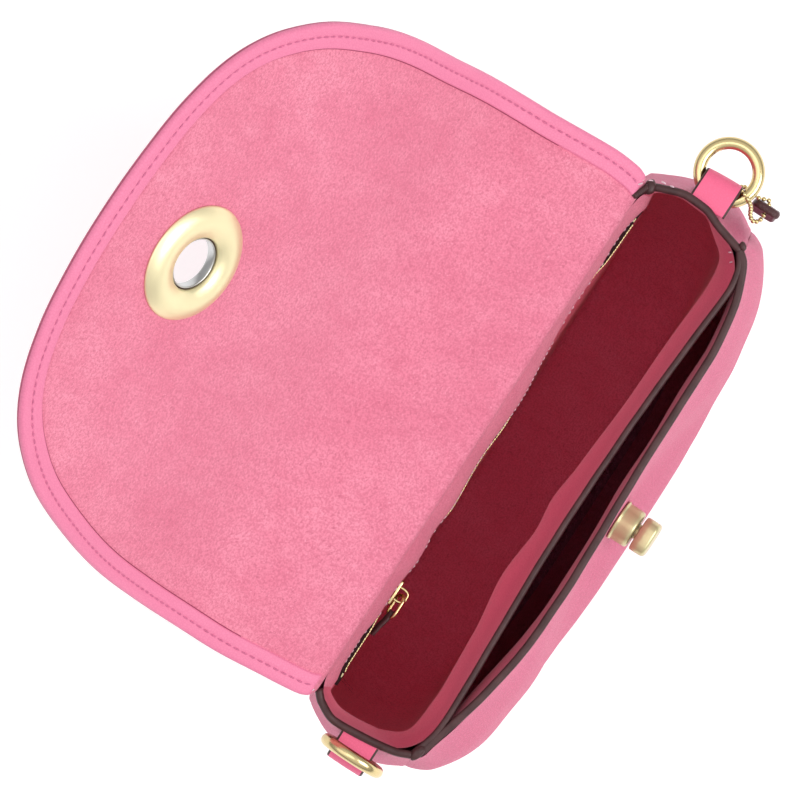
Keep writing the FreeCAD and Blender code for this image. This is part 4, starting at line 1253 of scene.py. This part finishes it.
# -------------------------------------------------------------------------- zip
TAPE_Y = 13.5
tape = Bag()
for zt in ((143.9, 144.6, 145.3, 146.2, 147.5, 149.5), (137.0, 138.5, 139.8, 140.7, 141.4, 142.1)):
    x = np.linspace(-94, 90, 140)
    g = np.zeros((len(x), len(zt), 3))
    for j_, z in enumerate(zt):
        back = (1.7 * float(smooth(z, 144.3, 146.4)) - 0.38) if z > 143 else 1.3 * float(smooth(-z, -142.1, -139.5))
        top = np.maximum(teeth_y(x) + back, (lip_up(x) if z > 143 else teeth_y(x)) - 3.0 + 3.45 * smooth(abs(z - 143), 2.0, 3.2))
        g[:, j_] = np.stack([x, top, np.full(len(x), z)], 1)
    tape.add(g.reshape(-1, 3), grid_faces(len(x), len(zt)))
    tape.add((g + [0, 0.5, 0]).reshape(-1, 3), grid_faces(len(x), len(zt), flip=True))
# thin cloth bag of the zip pocket, behind the lining
pbx, pbz = np.linspace(-87.5, 83.5, 60), np.linspace(52.5, 151.0, 30)
pbv, pbf = [], []
for yy_, fl_ in ((16.55, False), (17.25, True)):
    g = np.array([[(a, yy_, b) for b in pbz] for a in pbx])
    g[..., 1] += 0.12 * np.sin(g[..., 0] / 9.0) * np.sin(g[..., 2] / 11.0)
    pbf += grid_faces(60, 30, base=len(pbv) * 1800, flip=fl_)
    pbv.append(g.reshape(-1, 3))
o = make("pocket_cloth", np.concatenate(pbv), pbf, M_LINING_PAINTED_SHADE)
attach(o, "bag"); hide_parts("zip_pocket_bag")
# tape end turned forward at the left end of the opening
e = np.array([[(-91.6 - 1.5 * t - 0.4 * s, 13.2 - 5.4 * t, 144.2 - 3.4 * s) for s in np.linspace(0, 1, 5)] for t in np.linspace(0, 1, 8)])
tape.add(e.reshape(-1, 3), grid_faces(8, 5))
tape.add((e + [0.9, 0.1, 0]).reshape(-1, 3), grid_faces(8, 5, flip=True))
o = tape.make("zip_tapes", [M_TAPE])
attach(o, "bag"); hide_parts("zip_tape_upper", "zip_tape_lower")
teeth = Bag()
x = -88.6
i = 0
while x < 84.6:
    zc = 143.0 + (0.42 if i % 2 else -0.42)
    c = np.array([(a, b, d) for a in (-0.36, 0.36) for b in (-0.62, 0.62) for d in (-0.85, 0.85)])
    v = c + [x, float(teeth_y(x)), zc]
    teeth.add(v, [(0, 1, 3, 2), (4, 6, 7, 5), (0, 4, 5, 1), (2, 3, 7, 6), (0, 2, 6, 4), (1, 5, 7, 3)])
    x += 0.95
    i += 1
o = teeth.make("zip_tooth_rows", [M_GOLD], smooth_=False)
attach(o, "bag"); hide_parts("zip_teeth")
stops = Bag()
for x in (-90.2, 86.2):
    c = np.array([(a, b, d) for a in (-0.7, 0.7) for b in (-0.5, 0.5) for d in (-2.0, 2.0)])
    stops.add(c + [x, float(teeth_y(x)) + 0.25, 143.0], [(0, 1, 3, 2), (4, 6, 7, 5), (0, 4, 5, 1), (2, 3, 7, 6), (0, 2, 6, 4), (1, 5, 7, 3)])
o = stops.make("zip_end_stops", [M_GOLD_KNOB], smooth_=False)
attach(o, "bag"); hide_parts("zip_stops")


def rounded_box(name, size, bevel, seg, mat, matrix, body, reps):
    bm = bmesh.new()
    bmesh.ops.create_cube(bm, size=1.0)
    bmesh.ops.scale(bm, vec=Vector(size), verts=bm.verts)
    bmesh.ops.bevel(bm, geom=list(bm.edges), offset=bevel, segments=seg, profile=0.5, affect="EDGES")
    v = np.array([tuple(matrix @ p.co) for p in bm.verts])
    f = [tuple(q.index for q in fc.verts) for fc in bm.faces]
    bm.free()
    o = make(name, v, f, mat)
    fix_normals(o)
    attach(o, body)
    if reps:
        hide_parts(*reps)
    return o


SX, ZZ = -58.0, 143.0
sl = rounded_box("slider_body", (9.0, 1.6, 5.4), 0.6, 3, M_GOLD, Matrix.Translation((SX, 13.6, ZZ)), "slider", ["zip_slider"])
bw = Bag()
path = spline([(SX - 2.2, 13.1, ZZ), (SX - 2.2, 11.2, ZZ), (SX - 1.5, 9.75, ZZ), (SX, 9.45, ZZ), (SX + 1.5, 9.75, ZZ), (SX + 2.2, 11.2, ZZ), (SX + 2.2, 13.1, ZZ)], 0.3)
v, f = sweep(path, circle(0.5, 12), up=(0, 0, 1))
bw.add(v, f)
o = bw.make("slider_bail", [M_GOLD])
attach(o, "slider")
LEAN = math.radians(30.0)
PP = np.array((SX + 0.35, 11.0, ZZ))


def pull_point(p):
    p = np.asarray(p, float)
    c, s = math.cos(LEAN), math.sin(LEAN)
    return np.stack([p[..., 0], p[..., 1] * c - p[..., 2] * s, p[..., 1] * s + p[..., 2] * c], -1) + PP


lw, ll = 2.5, 4.3
arc = [(-lw + lw * math.sin(t), 0, lw * math.cos(t)) for t in np.linspace(0, math.pi, 17)]
arc += [(-2 * ll + lw - lw * math.sin(t), 0, -lw * math.cos(t)) for t in np.linspace(0, math.pi, 17)]
arc = resample(np.array(arc + arc[:1]), count=73)[:-1]
v, f = sweep(pull_point(arc), circle(0.62, 12), closed=True)
o = make("pull_link", v, f, M_GOLD)
fix_normals(o)
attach(o, "pull"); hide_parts("zip_pull_link")
# leather pull: a narrow strip doubled through the link
strip = [(-2 * ll + 2.6, 0, 0), (-2 * ll + 1.0, 0.1, 0), (-2 * ll - 1.6, 0.7, 0), (-2 * ll - 4.5, 1.5, 0.1), (-2 * ll - 7.6, 1.9, 0.2)]
sp = spline(strip, 0.5)
hw_ = np.interp(np.linspace(0, 1, len(sp)), [0, 0.25, 0.8, 1], [1.0, 1.5, 1.6, 1.1])
th = np.interp(np.linspace(0, 1, len(sp)), [0, 0.2, 0.35, 1], [1.1, 1.15, 0.9, 0.75])
rows = []
for p, a, b in zip(sp, hw_, th):
    rows.append([p + np.array([0, b * math.sin(q), a * math.cos(q)]) for q in np.arange(14) * 2 * math.pi / 14])
rows = np.array(rows)
vv = pull_point(rows.reshape(-1, 3))
ff = grid_faces(len(sp), 14, wrap_v=True)
ff.append(tuple(range(14)))
ff.append(tuple(range((len(sp) - 1) * 14, len(sp) * 14))[::-1])
o = make("pull_strip", vv, ff, M_DARK)
fix_normals(o)
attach(o, "pull"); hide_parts("zip_pull_tab")

# ------------------------------------------------------------------- turn knob
TILT = math.radians(5.6)
KAX = np.array((0.0, -math.cos(TILT), math.sin(TILT)))
KP = np.array((0.0, -35.8483, 84.8741))
K_LEN, K_GAP, K_HEAD = 7.2, 1.2, 5.7
prof = [(0.0, 0.02), (7.1, 0.02), (7.3, 0.12), (7.36, 0.4), (7.3, 0.72), (7.05, 0.92), (6.96, 1.05), (6.93, 1.4), (6.90, 3.6), (6.87, 5.6), (6.82, 6.3),
        (6.66, 6.75), (6.3, 7.05), (5.9, 7.2), (3.1, 7.2), (3.0, 6.9), (3.0, 2.5), (0.0, 2.5)]
v, f = lathe(prof, KP, KAX, 128, closed=False)
o = make("knob_barrel", v, f, M_GOLD_KNOB)
bm = bmesh.new(); bm.from_mesh(o.data); bmesh.ops.remove_doubles(bm, verts=bm.verts, dist=1e-6); bmesh.ops.dissolve_degenerate(bm, dist=1e-7, edges=bm.edges); bm.to_mesh(o.data); bm.free()
fix_normals(o)
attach(o, "bag"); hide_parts("knob_base")
for nname in ("knob_magnet", "knob_washer"):
    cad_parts[nname].data.materials.clear()
    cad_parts[nname].data.materials.append(M_STEEL_CAD)
HC = KP + KAX * (K_LEN + K_GAP + K_HEAD / 2)


def knob_block():
    """A square button: the corners along the axis are cut broad, the outer face has a soft edge."""
    def square(h, cut, y):
        out = []
        for cx, cz in ((1, 1), (-1, 1), (-1, -1), (1, -1)):
            a, b = np.array((cx * h, cz * (h - cut))), np.array((cx * (h - cut), cz * h))
            c = np.array((cx * h, cz * h))
            q = [a, b] if cx * cz > 0 else [b, a]
            for t in np.linspace(0, 1, 7):
                p = (1 - t) ** 2 * q[0] + 2 * t * (1 - t) * (c * 0.72 + (a + b) / 2 * 0.28) + t ** 2 * q[1]
                out.append((p[0], y, p[1]))
        return np.array(out)
    h, e = 6.3, K_HEAD / 2
    rows_ = [square(h - 1.5, 2.2, e), square(h - 0.55, 2.9, e), square(h - 0.18, 3.15, e - 0.16), square(h, 3.3, e - 0.5), square(h + 0.05, 3.3, 0.4)]
    for t in np.linspace(0, math.pi / 2, 8):
        rows_.append(square(h - 1.25 * (1 - math.cos(t)), 3.3 - 0.5 * (1 - math.cos(t)), -(e - 1.25) - 1.25 * math.sin(t)))
    rows_.append(square(h - 3.2, 1.9, -e - 0.12))
    R_ = np.array(rows_)
    m, k = R_.shape[:2]
    f_ = grid_faces(m, k, wrap_v=True)
    f_.append(tuple(range(k)))
    f_.append(tuple(range((m - 1) * k, m * k)))
    return R_.reshape(-1, 3), f_


v, f = knob_block()
rot = np.array(Matrix.Rotation(-TILT, 3, "X"))
head = Bag()
head.add(v @ rot.T + HC, f)
v, f = lathe([(0.0, -K_HEAD / 2 - K_GAP - 4.4), (2.7, -K_HEAD / 2 - K_GAP - 4.4), (2.78, -K_HEAD / 2 - K_GAP - 4.2), (2.78, -K_HEAD / 2 + 0.1), (3.3, -K_HEAD / 2 + 0.2), (0.0, -K_HEAD / 2 + 0.3)], HC, KAX, 40, closed=False)
head.add(v, f)
o = head.make("knob_head_cast", [M_GOLD_KNOB])
bm = bmesh.new(); bm.from_mesh(o.data); bmesh.ops.remove_doubles(bm, verts=bm.verts, dist=1e-6); bm.to_mesh(o.data); bm.free()
fix_normals(o)
o.data.polygons.foreach_set("use_smooth", np.ones(len(o.data.polygons), bool))
o.data.set_sharp_from_angle(angle=math.radians(38))
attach(o, "turn_head"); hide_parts("knob_head")

# ------------------------------------------------------------- tabs and rings
LX, LZ, TY, TW = 107.3, 161.0, -3.0, 13.4


def tab_piece(sgn):
    pts = [(100.6, 165.75), (103.5, 165.8), (106.0, 165.78)]
    for t in np.linspace(0.1, math.pi - 0.1, 15):
        pts.append((LX + 4.75 * math.sin(t), LZ + 4.75 * math.cos(t)))
    pts += [(106.3, 156.2), (104.9, 155.6), (104.25, 153.6)]
    for z in (150.5, 147, 143, 139, 135.6):
        pts.append((float(half_w(z) + pchip(BULGE, z)) + 0.95, z))
    c = spline(pts, 0.7)
    t = np.gradient(c, axis=0)
    t /= np.linalg.norm(t, axis=1)[:, None]
    nr = np.stack([-t[:, 1], t[:, 0]], 1)          # left of travel: outward over the loop is -nr? fixed by recalc
    hwid, hth = TW / 2, 0.9
    sec = []
    m = 10
    prof_ = [(-hwid + 0.75, -hth), (hwid - 0.75, -hth)]
    for q in np.linspace(-90, 90, m):
        prof_.append((hwid - 0.75 + 0.75 * math.cos(math.radians(q)), hth * math.sin(math.radians(q))))
    for q in np.linspace(90, 270, m):
        prof_.append((-hwid + 0.75 + 0.75 * math.cos(math.radians(q)), hth * math.sin(math.radians(q))))
    # extra columns across the width for a slight crown and stitch lines
    across = [(-hwid + 0.75 + (2 * hwid - 1.5) * i / 12.0, hth + 0.12 * math.sin(math.pi * i / 12.0)) for i in range(12, -1, -1)]
    under = [(-hwid + 0.75 + (2 * hwid - 1.5) * i / 12.0, -hth) for i in range(0, 13)]
    right = [(hwid - 0.75 + 0.75 * math.cos(math.radians(q)), hth * math.sin(math.radians(q))) for q in np.linspace(-90, 90, m)[1:-1]]
    left = [(-hwid + 0.75 + 0.75 * math.cos(math.radians(q)), hth * math.sin(math.radians(q))) for q in np.linspace(90, 270, m)[1:-1]]
    ring_ = under + right + across + left
    k = len(ring_)
    P = np.zeros((len(c), k, 3))
    for i in range(len(c)):
        for j, (a, b) in enumerate(ring_):
            z_ = c[i, 1] + nr[i, 1] * b
            out_ = float(puff(np.array((sgn * 104.0, TY + a, min(z_, 150.0))))) * sgn
            P[i, j] = (sgn * (c[i, 0] + nr[i, 0] * b + out_), TY + a, z_)
    f = grid_faces(len(c), k, wrap_v=True)
    mats = []
    for i in range(len(c) - 1):
        for j in range(k):
            a = abs(ring_[j][0]) > hwid - 0.76 and abs(ring_[(j + 1) % k][0]) > hwid - 0.76
            mats.append(1 if a else 0)
    v = P.reshape(-1, 3)
    f.append(tuple(range(k)))
    f.append(tuple(range((len(c) - 1) * k, len(c) * k)))
    mats += [1, 1]
    o = make("tab_strap_right" if sgn > 0 else "tab_strap_left", v, f, [M_TAB, M_PAINT], None, True, mats)
    fix_normals(o)
    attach(o, "bag"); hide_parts("tab_right" if sgn > 0 else "tab_left")
    # two rows of stitches on the part that lies on the gusset
    b = Bag()
    for yy in (TY - 4.9, TY + 4.9):
        for z in np.arange(137.5, 151.5, 2.9):
            x = float(half_w(z + 1) + pchip(BULGE, z + 1)) + 1.95 + float(puff(np.array((sgn * 104.0, yy, z + 1)))) * sgn
            p = np.array((sgn * (x + 0.02), yy, z)); q = np.array((sgn * (x - 0.12), yy, z + 2.2))
            stitches(b, [(p, q)], [np.array((sgn, 0, 0.1))], 2.2, 0.34, flat=0.7)
    o = b.make("tab_stitches_right" if sgn > 0 else "tab_stitches_left", [M_THREAD])
    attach(o, "bag")


tab_piece(1)
tab_piece(-1)


def torus(c, axis, R, r, nu=120, nv=28):
    return lathe([(R + r * math.cos(t), r * math.sin(t)) for t in np.arange(nv) * 2 * math.pi / nv], c, axis, nu)


RR, RW = 9.5, 2.05
RO = RR - 1.94
v, f = torus((LX + RO, TY, LZ), (0, 0, 1), RR, RW)
o = make("ring_wire_right", v, f, M_GOLD); fix_normals(o)
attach(o, "right_ring"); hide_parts("ring_right")
v, f = torus((-LX - 0.5, TY - 0.5, LZ + RO + 0.2), (1, 0.0, -0.07), RR, RW)
o = make("ring_wire_left", v, f, M_GOLD); fix_normals(o)
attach(o, "left_ring"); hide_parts("ring_left")

# --------------------------------------------------------- ball chain, hang tag
ang = math.radians(247.0)
rad = np.array((math.cos(ang), math.sin(ang), 0.0))
RC = np.array((LX + RO, TY, LZ))
P0 = RC + rad * RR
Q0 = np.array((112.0, -19.6, 150.6))
loop = [P0 + (0, 0, 3.1), P0 + rad * 3.2 + (-0.4, 0, 0.2), np.array((107.6, -16.0, 156.6)), np.array((106.4, -18.4, 153.0)), np.array((108.6, -19.9, 150.9)), Q0 + (0.0, 0, 0.5),
        Q0 + (2.6, 0.4, 1.5), np.array((113.6, -15.6, 153.6)), np.array((114.1, -11.2, 156.8)), P0 - rad * 3.2 + (0.3, 0.2, -0.2)]
cc = spline(loop + loop[:3], 0.2)
# keep one turn
d = np.linalg.norm(cc - np.array(loop[1]), axis=1)
i0 = int(np.argmin(d[: len(d) // 2]))
i1 = len(d) // 2 + int(np.argmin(d[len(d) // 2:]))
turn = cc[i0:i1 + 1]
cnt = int(np.linalg.norm(np.diff(turn, axis=0), axis=1).sum() / 1.78)
beads = resample(turn, count=cnt + 1)[:-1]
bb = Bag()
for p in beads:
    v, f = sphere(p, 0.80, 14, 9)
    bb.add(v, f)
v, f = sweep(resample(turn, count=cnt * 3 + 1)[:-1], circle(0.24, 6), closed=True)
bb.add(v, f)
o = bb.make("ball_chain_beads", [M_GOLD])
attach(o, "chain"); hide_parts("ball_chain")


def plate(outline, hole, n_of, name, mat, place, body, reps, ds=(0.0, 0.08, 0.3, 0.7, 1.2, 1.7, 2.0, 2.4)):
    """A flat piece with rolled edges: outline (a, b), hole (centre, radius)."""
    N = len(outline)
    t = np.roll(outline, -1, 0) - np.roll(outline, 1, 0)
    t /= np.linalg.norm(t, axis=1)[:, None]
    nr = np.stack([-t[:, 1], t[:, 0]], 1)
    L = [outline + nr * d for d in ds]
    H_ = 32
    hc, hr = hole
    hp = [(hc[0] + hr * math.cos(2 * math.pi * i / H_), hc[1] + hr * math.sin(2 * math.pi * i / H_)) for i in range(H_)]
    pts = [tuple(p) for p in L[-1]] + hp
    edges = [(i, (i + 1) % N) for i in range(N)] + [(N + i, N + (i + 1) % H_) for i in range(H_)]
    v, tris, back = cdt(pts, edges)
    cen = np.array([np.mean([v[i] for i in q], axis=0) for q in tris])
    ok = []
    poly = L[-1]
    for c in cen:
        inside = False
        for i in range(N):
            a, b = poly[i], poly[(i + 1) % N]
            if (a[1] > c[1]) != (b[1] > c[1]) and c[0] < (b[0] - a[0]) * (c[1] - a[1]) / (b[1] - a[1]) + a[0]:
                inside = not inside
        ok.append(inside and math.hypot(c[0] - hc[0], c[1] - hc[1]) > hr * 0.99)
    tris = [q for q, k in zip(tris, ok) if k]
    K = len(ds)
    off = (K - 1) * N
    P2 = np.concatenate([np.concatenate(L[:-1]), v])
    D = np.concatenate([np.repeat(ds[:-1], N), np.full(len(v), ds[-1])])

    def vid(k, i):
        return k * N + i if k < K - 1 else off + back[i]
    top = [(vid(k, i), vid(k, (i + 1) % N), vid(k + 1, (i + 1) % N), vid(k + 1, i)) for k in range(K - 1) for i in range(N)]
    top += [tuple(off + i for i in q) for q in tris]
    n = len(P2)
    remap = np.arange(n) + n
    remap[:N] = np.arange(N)
    faces = top + [tuple(int(remap[i]) for i in q[::-1]) for q in top]
    for i in range(H_):
        a, b = off + back[N + i], off + back[N + (i + 1) % H_]
        faces.append((a, b, int(remap[b]), int(remap[a])))
    up, dn = n_of(D), -n_of(D)
    verts = np.concatenate([place(P2, up), place(P2, dn)])
    o = make(name, verts, faces, mat)
    fix_normals(o)
    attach(o, body)
    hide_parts(*reps)
    return o


r_ = 2.6
box_ = []
for cx, cy, a0 in ((4.8 - r_, 3.6 - r_, 0), (-4.8 + r_, 3.6 - r_, 90), (-4.8 + r_, -34.0 + r_, 180), (4.8 - r_, -34.0 + r_, 270)):
    for q in np.linspace(a0, a0 + 90, 9):
        box_.append((cx + r_ * math.cos(math.radians(q)), cy + r_ * math.sin(math.radians(q))))
box_ = resample(np.array(box_ + box_[:1]), 0.9)[:-1]
tag_curve = lambda b: 1.6 * np.sin(np.clip((3.6 - b) / 37.6, 0, 1) * np.pi * 0.9) ** 2


def tag_place(P2, nn):
    return np.stack([112.0 + nn + tag_curve(P2[:, 1]) * 0.8, -19.6 + P2[:, 0], 150.6 + P2[:, 1]], 1)


plate(box_, ((0.0, 0.3), 1.9), lambda D: 1.3 * np.sqrt(np.clip(1 - (1 - np.clip(D / 0.8, 0, 1)) ** 2, 0, 1)) - 0.14 * np.exp(-((D - 1.7) / 0.3) ** 2),
      "hang_tag_leather", M_DARK, tag_place, "tag", ["hang_tag"])

# ------------------------------------------------------- hidden CAD pieces kept
for nname, mat in (("base_board", M_BOARD),):
    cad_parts[nname].data.materials.clear()
    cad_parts[nname].data.materials.append(mat)

# ------------------------------------------------------------------------ stage
fl = bpy.data.meshes.new("floor")
R = 6.0
fl.from_pydata([(-R, -R, -0.0005), (R, -R, -0.0005), (R, R, -0.0005), (-R, R, -0.0005)], [], [(0, 1, 2, 3)])
floor = bpy.data.objects.new("floor", fl)
bpy.context.scene.collection.objects.link(floor)
nn = Net("floor_white")
nn.set(Base_Color=(0.86, 0.86, 0.86, 1), Roughness=0.9, Specular_IOR_Level=0.1, Emission_Color=(1, 1, 1, 1), Emission_Strength=0.30)
fl.materials.append(nn.m)

world = bpy.data.worlds.new("studio")
bpy.context.scene.world = world
world.use_nodes = True
bg = world.node_tree.nodes["Background"]
wt = world.node_tree
tc = wt.nodes.new("ShaderNodeTexCoord")
sx_ = wt.nodes.new("ShaderNodeSeparateXYZ")
wr_ = wt.nodes.new("ShaderNodeValToRGB")
wt.links.new(tc.outputs["Generated"], sx_.inputs[0])
wt.links.new(sx_.outputs["Z"], wr_.inputs["Fac"])
wr_.color_ramp.elements[0].position, wr_.color_ramp.elements[0].color = 0.0, (0.42, 0.42, 0.42, 1)
wr_.color_ramp.elements[1].position, wr_.color_ramp.elements[1].color = 0.85, (1.35, 1.35, 1.35, 1)
wt.links.new(wr_.outputs["Color"], bg.inputs["Color"])
bg.inputs["Strength"].default_value = 0.68


def area(name, loc, target, size, power, color=(1, 1, 1)):
    d = bpy.data.lights.new(name, "AREA")
    d.shape, d.size, d.size_y = "RECTANGLE", size[0], size[1]
    d.energy, d.color = power, color
    o = bpy.data.objects.new(name, d)
    bpy.context.scene.collection.objects.link(o)
    o.location = loc
    o.rotation_mode = "QUATERNION"
    o.rotation_quaternion = (Vector(target) - Vector(loc)).to_track_quat("-Z", "Y")
    return o


area("key", (0.25, -1.15, 1.25), (0, 0.03, 0.15), (0.9, 0.9), 15.0)
area("back", (-0.5, 0.75, 1.35), (0, 0.03, 0.18), (1.1, 1.1), 2.5)
area("top", (0.0, 0.1, 1.9), (0, 0, 0), (0.9, 0.9), 3.5)

cam = bpy.data.cameras.new("camera")
cam.sensor_width = 36.0
cam.lens = 182.52
cam.clip_start, cam.clip_end = 0.05, 30.0
camo = bpy.data.objects.new("camera", cam)
bpy.context.scene.collection.objects.link(camo)
R3 = Matrix(((0.5437143, 0.83863834, 0.03256533), (-0.83795397, 0.54462507, -0.03488099), (-0.04698843, -0.00832296, 0.99886076)))
camo.matrix_world = Matrix.Translation((0.03861, 0.00035, 1.46652)) @ R3.to_4x4()
bpy.context.scene.camera = camo
bpy.context.scene.view_settings.view_transform = "Standard"
bpy.context.scene.view_settings.look = "None"
bpy.context.scene.view_settings.exposure = 0.0
